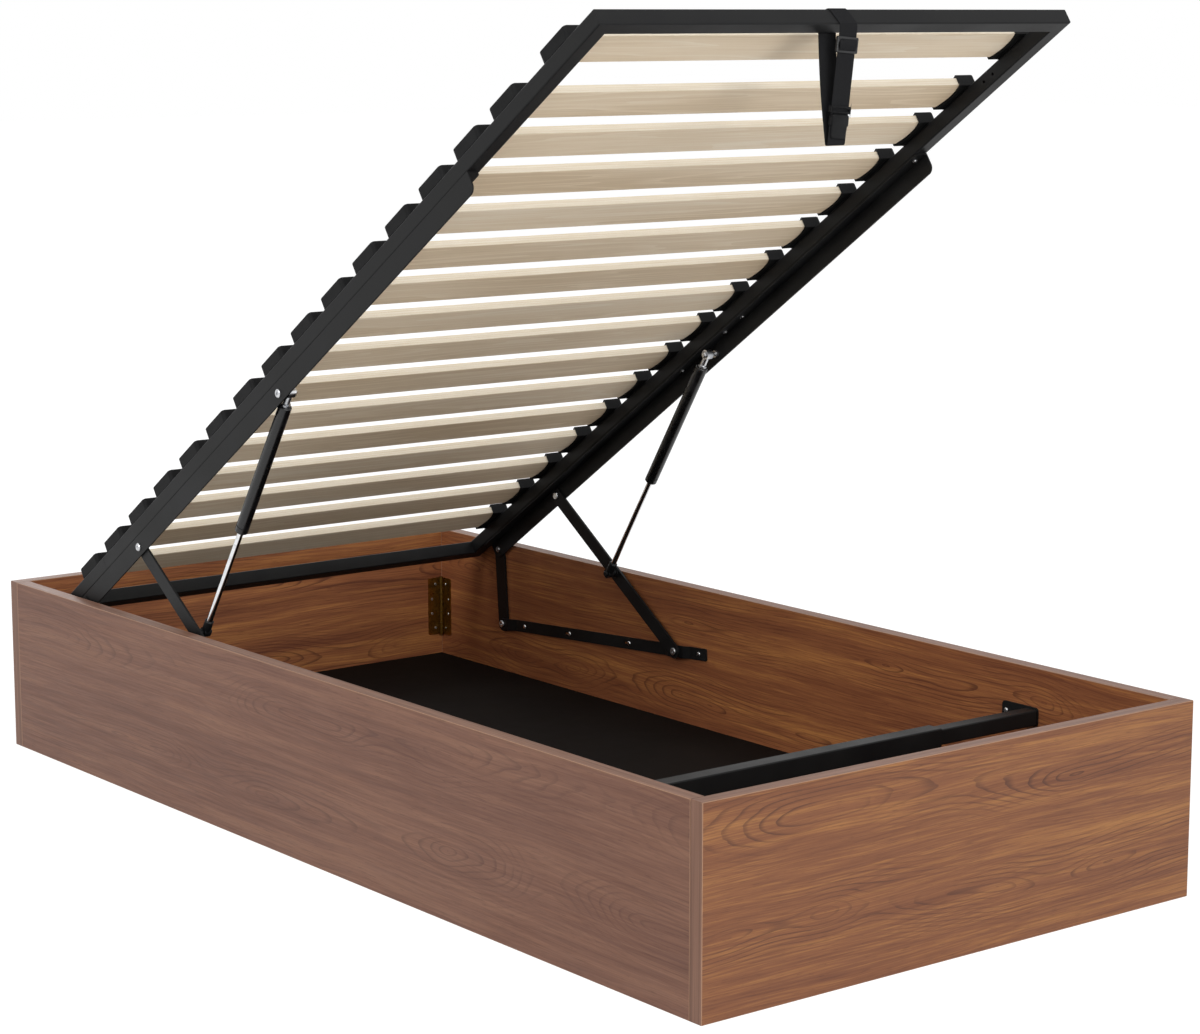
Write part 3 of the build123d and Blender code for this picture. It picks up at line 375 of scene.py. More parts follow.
@dataclass(frozen=True)
class WalnutBoard:
    """Walnut-effect foil on both faces of a board, with a band on its edges.

    The foil is printed from plain-sawn veneer. Two hearts lie one above the other, and the growth
    rings round each are level lines of its distance, so they nest in long pointed ovals.
    """

    name: str
    grain: Along
    middle: Point
    half: Point
    seed: float
    tone: WalnutTone = WalnutTone()
    other_face: float = 7.3
    # Painted light: the green and blue shares of the inner faces' brightening, which make it
    # warmer.
    inner_painted_warmth: tuple[float, float] = (0.94, 0.9)
    sheen: Step = (0.3, 0.7, 0.42, 0.55)
    skin: Skin = Skin(0.00012, 0.5, 0.34)
    fibre: Layer = Layer(12.0, 700.0, detail=3.0, rough=0.6)

    drift: Layer = Layer(1.3, 5.0, 2.0, share=0.05)
    broad: Layer = Layer(1.0, 17.0, 11.0, share=0.28)
    middling: Layer = Layer(2.6, 75.0, 5.0, 3.0, 0.55, share=0.36)
    fine: Layer = Layer(9.0, 420.0, 29.0, 2.0, 0.6, share=0.36)
    tone_stops: tuple[float, float, float] = (0.36, 0.50, 0.63)
    pores: Layer = Layer(40.0, 900.0, 23.0)
    pore_step: Step = (0.60, 0.72, 0.0, 0.5)

    ring_pitch: float = 0.0068
    heart_height: float = 0.074
    heart_split: float = 0.018
    heart_depth: float = 0.058
    other_heart: float = 5.7
    bend: Layer = Layer(1.1, 0.0, 31.0, 1.0, centre=0.5, share=0.07)
    sway: Layer = Layer(1.5, 0.0, 3.0, 1.0, centre=0.5, share=0.05)
    distance: Layer = Layer(2.1, 3.0, 17.0, 1.4, 0.4, centre=0.47, share=4.0)
    ripple: Layer = Layer(7.0, 45.0, 41.0, centre=0.5, share=0.0075)
    uneven: Layer = Layer(0.7, 22.0, 7.0, 1.0, share=1.6)
    ring_rise: Span = (0.60, 0.95)
    ring_fall: Span = (0.96, 1.0)
    fade: Layer = Layer(3.2, 24.0, 19.0)
    fade_step: Step = (0.36, 0.62, 0.12, 1.0)
    heart_reach: Span = (0.020, 0.085)
    far_strength: float = 0.2

    band_line: float = 0.0011
    # Painted highlight: a paler line this wide along the rounded corner where foil and band meet,
    # mixed in at the strength below.
    arris_highlight_line: float = 0.0004
    arris_highlight_strength: float = 0.75
    band_grain: Layer = Layer(3.0, 260.0)
    upright_shift: float = 2.0
    band_stops: Span = (0.38, 0.62)
    band_light: str = "#866250"
    band_dark: str = "#6f4e3e"
    # Painted highlight: the colour of that corner line.
    arris_highlight: str = "#a8846a"

    def material(self) -> bpy.types.Material:
        """Return the board's material."""
        graph = Graph.for_material(self.name)
        x, y, z = graph.parts(graph.place(self.middle))
        runs_wide = self.grain is Along.WIDTH
        along, through = (x, y) if runs_wide else (y, x)
        outwards = self.middle[1] if runs_wide else self.middle[0]
        outer = (through > 0.0) if outwards > 0 else (through < 0.0)
        seed = outer * self.other_face + self.seed
        colour = self._foil(graph, along, z, seed)
        colour = graph.mix(self._rings(graph, along, z, seed), colour, tint(self.tone.line))
        # Painted light: inner faces are multiplied brighter and warmer than outer ones, in place
        # of light inside the box.
        lift = self.tone.inner_painted_light
        painted_light_tint = (lift, lift * self.inner_painted_warmth[0], lift * self.inner_painted_warmth[1], 1.0)
        colour = graph.mix(1.0, colour, graph.mix(outer, painted_light_tint, WHITE), "MULTIPLY")
        colour = self._with_bands(graph, colour, along, through, z)
        fibre = graph.fibre(self.fibre, along, z, through)
        return graph.finish(colour, fibre.ease(*self.sheen), fibre, self.skin)

    def _foil(self, graph: Graph, along: Value, across: Value, seed: Value) -> Value:
        """Return the foil's colour without its rings: streaks and pores along the grain."""
        level = across + graph.layer(self.drift, along, across, seed)
        broad = graph.layer(self.broad, along, level, seed)
        middling = graph.layer(self.middling, along, level, seed)
        fine = graph.layer(self.fine, along, level, seed)
        shades = (self.tone.dark, self.tone.main, self.tone.light)
        colour = graph.ramp(broad + middling + fine, list(zip(self.tone_stops, shades)))
        pores = graph.layer(self.pores, along, level, seed)
        return graph.mix(pores.ease(*self.pore_step), colour, tint(self.tone.line))

    def _rings(self, graph: Graph, along: Value, across: Value, seed: Value) -> Value:
        """Return how strongly the dark line of a growth ring shows."""
        level = across - self.heart_split - graph.layer(self.bend, along, 0.0, seed)
        own = seed + (level > 0.0) * self.other_heart
        sway = graph.layer(self.sway, along, 0.0, own)
        height = abs(level) - self.heart_height - sway
        depth = graph.layer(self.distance, along, height, own) * self.heart_depth
        reach = (height * height + depth * depth).root()
        ripple = graph.layer(self.ripple, along, across, own)
        uneven = graph.layer(self.uneven, along, height, own)
        turn = ((reach + ripple) / self.ring_pitch + uneven).fraction()
        line = turn.ease(*self.ring_rise) * (1 - turn.ease(*self.ring_fall))
        fade = graph.layer(self.fade, along, across, own).ease(*self.fade_step)
        near = 1 - reach.ease(*self.heart_reach)
        near = near * (1 - self.far_strength) + self.far_strength
        return line * (fade * near * self.tone.figure_strength)

    def _with_bands(
        self, graph: Graph, colour: Value, run: Value, cross: Value, up: Value
    ) -> Value:
        """Lay the edge bands over the foil, with a painted highlight: a paler line on the rounded
        corner where the two meet.
        """
        run_half, cross_half = self.half[0], self.half[1]
        if self.grain is Along.LENGTH:
            run_half, cross_half = cross_half, run_half
        end = abs(run) > run_half - self.band_line
        top = abs(up) > self.half[2] - self.band_line
        slow, quick = self.band_grain.along, self.band_grain.across
        lengthways = graph.vector(run * slow, cross * quick, self.seed)
        upright = graph.vector(up * slow, cross * quick, self.seed + self.upright_shift)
        streak = graph.noise(graph.mix(end, lengthways, upright), self.band_grain.texture())
        shades = (self.band_dark, self.band_light)
        band = graph.ramp(streak, list(zip(self.band_stops, shades)))
        banded = top.either(end)
        # Painted highlight: a paler line on the band next to the rounded corner with the foil.
        edge = abs(cross).ease(cross_half - self.band_line, cross_half - self.arris_highlight_line)
        colour = graph.mix(banded, colour, band)
        return graph.mix(banded * edge * self.arris_highlight_strength, colour, tint(self.arris_highlight))


@dataclass(frozen=True)
class PlainFinish:
    """A plain surface: clouds of a second colour, and a fine grain that takes the light."""

    name: str
    colour: str
    worn: str
    sheen: Span
    clouds: Texture
    grain: Texture
    skin: Skin
    worn_span: Span = (0.4, 0.75)
    sheen_span: Span = (0.3, 0.7)
    sheen_by_grain: bool = False

    def material(self) -> bpy.types.Material:
        """Return the finish's material."""
        graph = Graph.for_material(self.name)
        place = graph.place()
        clouds = graph.noise(place, self.clouds)
        grain = graph.noise(place, self.grain)
        colour = graph.mix(clouds.ease(*self.worn_span), tint(self.colour), tint(self.worn))
        drift = grain if self.sheen_by_grain else clouds
        return graph.finish(colour, drift.ease(*self.sheen_span, *self.sheen), grain, self.skin)


@dataclass(frozen=True)
class PowderCoat(PlainFinish):
    """Black powder coat on steel: a fine orange peel and a soft sheen."""

    colour: str = "#121213"
    worn: str = "#191919"
    sheen: Span = (0.42, 0.52)
    clouds: Texture = Texture(9.0, 3.0)
    grain: Texture = Texture(1100.0)
    skin: Skin = Skin(0.00018, 0.5, 0.16)
    worn_span: Span = (0.35, 0.7)


@dataclass(frozen=True)
class BareMetal(PlainFinish):
    """A bright metal, turned or plated, with faint cloudy wear."""

    clouds: Texture = Texture(60.0, 3.0, 0.6)
    grain: Texture = Texture(600.0)
    skin: Skin = Skin(0.00004, metallic=1.0)
    worn_span: Span = (0.4, 0.7)


@dataclass(frozen=True)
class GlossPaint(PlainFinish):
    """Smooth stoved paint, as on the gas cylinders."""

    colour: str = "#0c0c0d"
    worn: str = "#1b1b1d"
    sheen: Span = (0.22, 0.36)
    clouds: Texture = Texture(30.0, 4.0, 0.6)
    grain: Texture = Texture(240.0)
    skin: Skin = Skin(0.00006)
    worn_span: Span = (0.5, 0.8)
    sheen_span: Span = (0.35, 0.7)


@dataclass(frozen=True)
class MouldedPlastic(PlainFinish):
    """Black moulded plastic with a spark-eroded texture."""

    colour: str = "#101011"
    worn: str = "#1a1a1b"
    sheen: Span = (0.48, 0.65)
    clouds: Texture = Texture(26.0, 3.0)
    grain: Texture = Texture(1400.0, 2.0, 0.6)
    skin: Skin = Skin(0.0003, 0.6, 0.16)
    sheen_by_grain: bool = True


@dataclass(frozen=True)
class FloorSheet(PlainFinish):
    """Black melamine on the box's floor sheet, slightly dusty."""

    colour: str = "#0d0907"
    worn: str = "#15100d"
    sheen: Span = (0.7, 0.82)
    clouds: Texture = Texture(5.0, 5.0, 0.6)
    grain: Texture = Texture(800.0)
    skin: Skin = Skin(0.0001, specular=0.06)


@dataclass(frozen=True)
class SlatPlywood:
    """A birch slat: veneer faces, and layered plies on its long edges."""

    name: str
    origin: Point
    seed: float
    shade: float
    turn: float = -OPEN_ANGLE
    width: float = 0.065
    thickness: float = 0.013
    edge_zone: Span = (0.9 * MILLIMETRE, 0.3 * MILLIMETRE)
    sheen: Step = (0.3, 0.7, 0.55, 0.68)
    skin: Skin = Skin(0.00015, 0.5)
    fibre: Layer = Layer(14.0, 900.0, detail=3.0, rough=0.6)

    veneer_light: str = "#f5e6ce"
    veneer_main: str = "#ecd8bb"
    veneer_dark: str = "#dac3a3"
    veneer_stops: tuple[float, float, float] = (0.30, 0.48, 0.66)
    other_face: float = 4.0
    drift: Layer = Layer(1.6, 12.0)
    drift_share: float = 0.5
    field: Layer = Layer(1.3, 26.0, 2.0, 2.0, 0.4)
    field_rings: float = 9.0
    ring_span: Span = (0.5, 1.0)
    ring_share: float = 0.12
    streaks: Layer = Layer(5.0, 330.0, 5.0, 4.0, 0.6, share=0.35)
    flecks: Layer = Layer(30.0, 800.0, 9.0)
    fleck_step: Step = (0.64, 0.74, 0.0, 0.35)

    plies: int = 7
    plies_below: float = 100.0
    edge_light: str = "#f6ecdb"
    edge_dark: str = "#e0cfb0"
    edge_stops: Span = (0.3, 0.6)
    edge_streak: Layer = Layer(9.0, 2400.0, 0.0, 3.0, 0.6)
    crossed_lift: float = 0.08
    glue: str = "#b59a73"
    glue_from: float = 0.44
    glue_strength: float = 0.55

    def material(self) -> bpy.types.Material:
        """Return the slat's material."""
        graph = Graph.for_material(self.name)
        x, y, z = graph.parts(graph.place(self.origin, self.turn))
        inner, outer = self.edge_zone
        on_edge = abs(y).ease(self.width / 2 - inner, self.width / 2 - outer)
        colour = graph.mix(on_edge, self._veneer(graph, x, y, z), self._plies(graph, x, z))
        fibre = graph.fibre(self.fibre, x, y, z)
        return graph.finish(colour, fibre.ease(*self.sheen), fibre, self.skin)

    def _veneer(self, graph: Graph, x: Value, y: Value, z: Value) -> Value:
        """Return the colour of the peeled face veneer."""
        side = (z > 0.0) * self.other_face + self.seed
        drift = graph.layer(self.drift, x, y, side)
        warped = graph.vector(
            x * self.field.along, y * self.field.across + drift, side + self.field.shift
        )
        rings = (graph.noise(warped, self.field.texture()) * self.field_rings).fraction()
        tone = drift * self.drift_share + graph.layer(self.streaks, x, y, side)
        tone = tone + rings.ease(*self.ring_span) * self.ring_share + self.shade
        shades = (self.veneer_dark, self.veneer_main, self.veneer_light)
        colour = graph.ramp(tone, list(zip(self.veneer_stops, shades)))
        flecks = graph.layer(self.flecks, x, y, side).ease(*self.fleck_step)
        return graph.mix(flecks, colour, tint(self.veneer_dark))

    def _plies(self, graph: Graph, x: Value, z: Value) -> Value:
        """Return the colour of the layers seen on a long edge."""
        ply = z * (self.plies / self.thickness) + self.plies_below
        crossed = (ply * 0.5).fraction() > 0.5
        streak = graph.layer(self.edge_streak, x, z, self.seed)
        tone = streak + crossed * self.crossed_lift - self.crossed_lift / 2
        shades = (self.edge_dark, self.edge_light)
        colour = graph.ramp(tone, list(zip(self.edge_stops, shades)))
        glue = (abs(ply.fraction() - 0.5) > self.glue_from) * self.glue_strength
        return graph.mix(glue, colour, tint(self.glue))


@dataclass(frozen=True)
class BattenPine:
    """Planed softwood, with its grain along X or along Y by where it lies."""

    name: str
    cross_from: float
    light: str = "#d9bc8a"
    dark: str = "#b08d5a"
    stops: Span = (0.35, 0.62)
    rings: Layer = Layer(3.0, 160.0, detail=4.0, rough=0.6)
    sheen: Step = (0.3, 0.7, 0.6, 0.75)
    skin: Skin = Skin(0.0003, 0.5)

    def material(self) -> bpy.types.Material:
        """Return the timber's material."""
        graph = Graph.for_material(self.name)
        x, y, z = graph.parts(graph.place())
        slow, quick = self.rings.along, self.rings.across
        lengthways = graph.vector(y * slow, x * quick, z * quick)
        across = graph.vector(x * slow, y * quick, z * quick)
        place = graph.mix(abs(y) > self.cross_from, lengthways, across)
        grain = graph.noise(place, self.rings.texture())
        colour = graph.ramp(grain, list(zip(self.stops, (self.dark, self.light))))
        return graph.finish(colour, grain.ease(*self.sheen), grain, self.skin)


@dataclass(frozen=True)
class WovenWebbing:
    """Polyester webbing: ribs across it, and cords along it, from its own UV map in metres."""

    name: str
    colour: str = "#151516"
    thread: str = "#232325"
    thread_span: Span = (0.3, 0.9)
    rib: float = 0.0013
    rib_share: float = 0.6
    cord: float = 0.0021
    fuzz: Texture = Texture(2500.0, 2.0, 0.6)
    fuzz_height: float = 0.3
    sheen: Step = (0.3, 0.7, 0.72, 0.9)
    skin: Skin = Skin(0.00035, 0.8, 0.12)

    def material(self) -> bpy.types.Material:
        """Return the webbing's material."""
        graph = Graph.for_material(self.name)
        across, along, _ = graph.parts(graph.node("ShaderNodeTexCoord", {}, {}, "UV"))
        cords = (across * (math.tau / self.cord)).wave()
        shift = ((across * (1.0 / self.cord)).fraction() > 0.5) * math.pi
        ribs = (along * (math.tau / self.rib) + shift).wave()
        weave = ribs * self.rib_share + cords * (1 - self.rib_share)
        fuzz = graph.noise(graph.place(), self.fuzz)
        height = weave + fuzz * self.fuzz_height
        colour = graph.mix(weave.ease(*self.thread_span), tint(self.colour), tint(self.thread))
        return graph.finish(colour, fuzz.ease(*self.sheen), height, self.skin)


def dress(node: bpy.types.Object, material: bpy.types.Material) -> None:
    """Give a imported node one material."""
    node.data.materials.clear()
    node.data.materials.append(material)
    LOG.info("dressed %s with %s", node.name, material.name)


def new_piece(
    name: str,
    mesh: bmesh.types.BMesh,
    body: Optional[str],
    material: bpy.types.Material,
    stands_for: Iterable[str] = (),
) -> bpy.types.Object:
    """Turn a bmesh into a piece of the object.

    Args:
        name: The piece's name.
        mesh: Its shape, in metres in the shared frame. It is freed here.
        body: The body it rides on, or None to leave it unattached.
        material: Its finish.
        stands_for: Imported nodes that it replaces.

    Returns:
        The new object.
    """
    bmesh.ops.recalc_face_normals(mesh, faces=mesh.faces)
    data = bpy.data.meshes.new(name)
    mesh.to_mesh(data)
    mesh.free()
    data.materials.append(material)
    piece = bpy.data.objects.new(name, data)
    bpy.context.scene.collection.objects.link(piece)
    if body is not None:
        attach(piece, body)
    if stands_for:
        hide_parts(*stands_for)
    LOG.info("made %s with %d faces", name, len(data.polygons))
    return piece


def bevel(
    mesh: bmesh.types.BMesh,
    parts: Sequence[Union[bmesh.types.BMVert, bmesh.types.BMEdge]],
    offset: float,
    segments: int,
    affect: str = "EDGES",
) -> None:
    """Round some parts of a mesh.

    Args:
        mesh: The mesh to change.
        parts: Edges, or the corners of a flat mesh.
        offset: How far the rounding reaches.
        segments: How many faces it has.
        affect: EDGES or VERTICES, as the parts are.
    """
    bmesh.ops.bevel(
        mesh, geom=parts, offset=offset, affect=affect, segments=segments, profile=0.5,
        material=-1,
    )


def soften(mesh: bmesh.types.BMesh, offset: float, segments: int) -> None:
    """Round every sharp edge of a mesh."""
    sharp = [edge for edge in mesh.edges if edge.calc_face_angle(0.0) > SHARP_ANGLE]
    bevel(mesh, sharp, offset, segments)


@dataclass
class Box:
    """The open box: four boards, its floor sheet and the battens under it."""

    nodes: dict[str, bpy.types.Object]
    batten_end_from_wall: float = 0.021
    # Painted shade: the near side panel faces away from the key lamp, so its foil is greyer and
    # darker, with a fainter figure and less painted light inside.
    shaded_side_tone: WalnutTone = WalnutTone("#87604b", "#754f3e", "#623e2f", "#4a2c22", 0.5, 1.1)

    def _board(self, name: str, grain: Along, seed: float, tone: WalnutTone) -> None:
        """Dress one board from its own size and place."""
        low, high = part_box(name)
        middle = (low + high) / 2
        half = (high - low) / 2
        finish = WalnutBoard("walnut_" + name, grain, tuple(middle), tuple(half), seed, tone)
        dress(self.nodes[name], finish.material())

    def build(self) -> None:
        """Dress every piece of the box."""
        lively = WalnutTone()
        self._board("foot_panel", Along.WIDTH, 1.7, lively)
        self._board("head_panel", Along.WIDTH, 6.2, lively)
        # Near side panel: the painted-shade tone.
        self._board("side_panel_left", Along.LENGTH, 3.4, self.shaded_side_tone)
        self._board("side_panel_right", Along.LENGTH, 12.9, lively)
        dress(self.nodes["floor_panel"], FloorSheet("floor_sheet_black").material())
        low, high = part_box("floor_battens")
        cross_from = high.y - self.batten_end_from_wall
        dress(self.nodes["floor_battens"], BattenPine("batten_pine", cross_from).material())


@dataclass
class Hardware:
    """Hinges, rails, links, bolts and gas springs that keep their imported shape."""

    nodes: dict[str, bpy.types.Object]

    def build(self) -> None:
        """Dress every metal and moulded piece."""
        coated = (
            *pair("base_rail"), *pair("front_link"), *pair("rear_link"), *pair("side_tube"),
            *pair("top_rail"), "foot_tube", "head_tube", "support_rail_outer",
            "support_rail_inner", "support_brackets",
        )
        plated = (
            "hinge_screws", "box_screws", "frame_screws", "base_pivot_pins",
            "frame_pivot_bolts", "upper_gas_studs", *pair("gas_cylinder_socket"),
        )
        self._dress(PowderCoat("black_powder_coat"), coated)
        brass = BareMetal("hinge_brass", "#9a7636", "#5f461f", (0.272, 0.442))
        self._dress(brass, ("corner_hinge_leaves", "corner_hinge_pins"))
        self._dress(BareMetal("bright_zinc", "#d3d4d6", "#a2a4a8", (0.24, 0.39)), plated)
        self._dress(BareMetal("rod_chrome", "#e2e3e5", "#c4c6ca", (0.08, 0.13)), pair("gas_rod"))
        self._dress(GlossPaint("cylinder_black"), pair("gas_cylinder"))
        fitting = MouldedPlastic("fitting_black", sheen=(0.33, 0.5), skin=Skin(0.0001, 0.6, 0.16))
        self._dress(fitting, pair("gas_rod_socket"))
        cap = MouldedPlastic("cap_black", "#0a0a0b", "#131314", (0.55, 0.72))
        self._dress(cap, pair("slat_caps"))

    def _dress(self, finish: PlainFinish, names: Iterable[str]) -> None:
        """Give some nodes one finish."""
        material = finish.material()
        for name in names:
            dress(self.nodes[name], material)


@dataclass
class SlatDeck:
    """The sixteen plywood slats on the raised frame."""

    nodes: dict[str, bpy.types.Object]
    count: int = 16
    first_seed: float = 1.0
    seed_step: float = 3.7
    shades: tuple[float, ...] = (0.06, -0.03, 0.02, -0.05, 0.03, -0.01, -0.06, 0.04)

    def build(self) -> None:
        """Dress each slat from its own place, so that no two look alike."""
        for index in range(self.count):
            name = f"slat_{index + 1:02d}"
            low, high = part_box(name)
            middle = (low + high) / 2
            finish = SlatPlywood(
                "plywood_" + name,
                tuple(middle),
                self.seed_step * index + self.first_seed,
                self.shades[index % len(self.shades)],
            )
            dress(self.nodes[name], finish.material())


@dataclass(frozen=True)
class StrapRoute:
    """The middle line of the pull strap's webbing: round the foot tube and down to its loop.

    Places on the frame are given along it from its foot end, and above its tubes' underside.
    """

    frame_foot: tuple[float, float] = (-0.7226958, 1.3069865)
    tube: float = 0.025
    tube_corner: float = 0.0025
    thickness: float = 0.0016
    drop: float = 0.161
    top_gap: float = 0.0003
    rear_gap: float = 0.003
    loop_gap: float = 0.005
    front_x: float = -0.0045
    front_top_x: float = -0.014
    rear_top_x: float = -0.022
    rear_x: float = -0.025
    end_x: float = -0.0175
    rear_bow: float = 0.0025
    bend_length: float = 0.012
    strand_steps: int = 60
    join_steps: int = 2
    face_steps: int = 7
    corner_steps: int = 5
    end_steps: int = 8

    def _on_frame(self, x: float, along: float, above: float) -> Vector:
        """Return the place in the shared frame of a point on the raised frame."""
        cosine, sine = math.cos(OPEN_ANGLE), math.sin(OPEN_ANGLE)
        y = self.frame_foot[0] + along * cosine + above * sine
        z = self.frame_foot[1] - along * sine + above * cosine
        return Vector((x, y, z))

    def pivot(self) -> Vector:
        """Return the place that the strap swings about, under the foot tube."""
        return self._on_frame(0.0, self.tube / 2, 0.0)

    def below(self) -> Vector:
        """Return the place under the pivot where the webbing has bent all the way."""
        return self._on_frame(0.0, self.tube / 2, -self.bend_length)

    def _tops(self) -> tuple[Vector, Vector]:
        """Return the tops of the front and of the rear strand."""
        front = self._on_frame(self.front_x, 0.0, 0.0)
        front.y -= self.thickness / 2
        front.z = self.pivot().z - self.top_gap
        rear = self._on_frame(self.rear_x, self.tube, 0.0)
        rear.y += self.thickness / 2
        rear.z -= self.rear_gap
        return front, rear

    def _ends(self) -> tuple[Vector, Vector]:
        """Return the bottoms of the front and of the rear strand."""
        front, rear = self._tops()
        middle = (front.y + rear.y) / 2
        reach = self.loop_gap / 2
        end_z = self.pivot().z - self.drop
        front_end = Vector((self.end_x, middle - reach, end_z))
        rear_end = Vector((self.end_x, middle + reach, end_z))
        return front_end, rear_end

    @staticmethod
    def _line(start: Vector, end: Vector, steps: int) -> list[Vector]:
        """Return even points from a start up to, but not with, an end."""
        return [start.lerp(end, step / steps) for step in range(steps)]

    def _slant(self, start: float, end: float, way: float) -> float:
        """Return how far to the side the webbing is, part of the way over one tube face."""
        return start + (end - start) * way / (self.tube + self.thickness)

    def _corner(self, x: float, centre: float, start: float) -> list[Vector]:
        """Return the route over an upper corner of the tube, from its start angle on."""
        far = self.tube - self.tube_corner
        bend = self.tube_corner + self.thickness / 2
        points = []
        for step in range(1, self.corner_steps):
            turn = start - math.pi / 2 * step / self.corner_steps
            along = centre + bend * math.cos(turn)
            points.append(self._on_frame(x, along, far + bend * math.sin(turn)))
        return points

    def _round_tube(self) -> list[Vector]:
        """Return the route up the tube's front face, over its top and down its rear face."""
        half = self.thickness / 2
        near, far = self.tube_corner, self.tube - self.tube_corner
        shares = [step / self.face_steps for step in range(self.face_steps + 1)]
        points = []
        for share in shares:
            x = self._slant(self.front_x, self.front_top_x, far * share)
            points.append(self._on_frame(x, -half, far * share))
        points += self._corner(self.front_top_x, near, math.pi)
        for share in shares:
            along = near + (far - near) * share
            x = self._slant(self.front_top_x, self.rear_top_x, along + self.thickness)
            points.append(self._on_frame(x, along, self.tube + half))
        points += self._corner(self.rear_top_x, far, math.pi / 2)
        for share in shares:
            above = far * (1 - share)
            x = self._slant(self.rear_x, self.rear_top_x, above)
            points.append(self._on_frame(x, self.tube + half, above))
        return points

    def loop(self) -> list[Vector]:
        """Return the route once round, from the bottom of the front strand."""
        front_top, rear_top = self._tops()
        front_end, rear_end = self._ends()
        on_tube = self._on_frame(self.front_x, -self.thickness / 2, 0.0)
        points = self._line(front_end, front_top, self.strand_steps)
        points += self._line(front_top, on_tube, self.join_steps)
        points += self._round_tube()
        for step, point in enumerate(self._line(rear_top, rear_end, self.strand_steps)):
            point.y += self.rear_bow * math.sin(math.pi * step / self.strand_steps)
            points.append(point)
        middle = front_end.lerp(rear_end, 0.5)
        for step in range(self.end_steps):
            turn = math.pi * step / self.end_steps
            out = Vector((0.0, math.cos(turn), -math.sin(turn)))
            points.append(middle + out * (self.loop_gap / 2))
        return points

    def on_strand(self, drop: float) -> Matrix:
        """Return the place on the front strand this far below its top.

        Its Y points up the strand, and its Z to the webbing's front.
        """
        low, high = self._ends()[0], self._tops()[0]
        up = (high - low).normalized()
        across = (Vector((1.0, 0.0, 0.0)) - up * up.x).normalized()
        turn = Matrix((across, up, across.cross(up))).transposed().to_4x4()
        return Matrix.Translation(high.lerp(low, drop / (high.z - low.z))) @ turn


@dataclass(frozen=True)
class Clasps:
    """The strap's moulded fittings, made lying flat: Y up the strand, Z to its front."""

    slider_size: Point = (0.040, 0.0230, 0.0046)
    slider_bar: float = 0.0034
    cross_bar_radius: float = 0.0016
    cross_bar_sides: int = 16
    plug_size: Point = (0.0385, 0.0105, 0.0072)
    plug_bar: float = 0.0026
    ring_corner: float = 0.7
    ring_edge: float = 0.2
    socket_size: Point = (0.0325, 0.0340, 0.0098)
    socket_taper: Point = (0.84, 1.0, 0.8)
    socket_round: float = 0.0024
    ear_size: Point = (0.0032, 0.0130, 0.0056)
    ear_place: tuple[float, float] = (0.49, 0.22)
    ear_round: float = 0.0013

    def _ring(self, size: Point, bar: float) -> bmesh.types.BMesh:
        """Return a rounded rectangular ring with bars of this width."""
        mesh = bmesh.new()
        bmesh.ops.create_grid(mesh, x_segments=1, y_segments=1, size=0.5)
        bmesh.ops.scale(mesh, vec=(size[0], size[1], 1.0), verts=mesh.verts)
        bevel(mesh, mesh.verts[:], bar * self.ring_corner, 4, "VERTICES")
        plate = mesh.faces[:]
        bmesh.ops.inset_individual(mesh, faces=plate, thickness=bar, use_even_offset=True)
        bmesh.ops.delete(mesh, geom=plate, context="FACES_ONLY")
        bmesh.ops.recalc_face_normals(mesh, faces=mesh.faces)
        bmesh.ops.solidify(mesh, geom=mesh.faces[:], thickness=size[2])
        low = min(vert.co.z for vert in mesh.verts)
        bmesh.ops.translate(mesh, vec=(0.0, 0.0, -low - size[2] / 2), verts=mesh.verts)
        bmesh.ops.recalc_face_normals(mesh, faces=mesh.faces)
        soften(mesh, size[2] * self.ring_edge, 2)
        return mesh

    def slider(self) -> bmesh.types.BMesh:
        """Return the three-bar slider that the webbing is threaded through."""
        mesh = self._ring(self.slider_size, self.slider_bar)
        bmesh.ops.create_cone(
            mesh, cap_ends=True, segments=self.cross_bar_sides, radius1=self.cross_bar_radius,
            radius2=self.cross_bar_radius, depth=self.slider_size[0] - self.slider_bar,
            matrix=Matrix.Rotation(math.pi / 2, 4, "Y"),
        )
        return mesh

    def plug(self) -> bmesh.types.BMesh:
        """Return the buckle's plug, an open frame that the webbing passes through."""
        return self._ring(self.plug_size, self.plug_bar)

    def socket(self) -> bmesh.types.BMesh:
        """Return the buckle's tapered socket, with the plug's two catches in its sides."""
        mesh = bmesh.new()
        bmesh.ops.create_cube(mesh, size=1.0)
        bmesh.ops.scale(mesh, vec=self.socket_size, verts=mesh.verts)
        lower = [vert for vert in mesh.verts if vert.co.y < 0]
        bmesh.ops.scale(mesh, vec=self.socket_taper, verts=lower)
        soften(mesh, self.socket_round, 4)
        out = self.socket_size[0] * self.ear_place[0]
        up = self.socket_size[1] * self.ear_place[1]
        for side in (-1, 1):
            ear = bmesh.ops.create_cube(mesh, size=1.0)["verts"]
            bmesh.ops.scale(mesh, vec=self.ear_size, verts=ear)
            bmesh.ops.translate(mesh, vec=(side * out, up, 0.0), verts=ear)
            edges = list({edge for vert in ear for edge in vert.link_edges})
            bevel(mesh, edges, self.ear_round, 3)
        return mesh


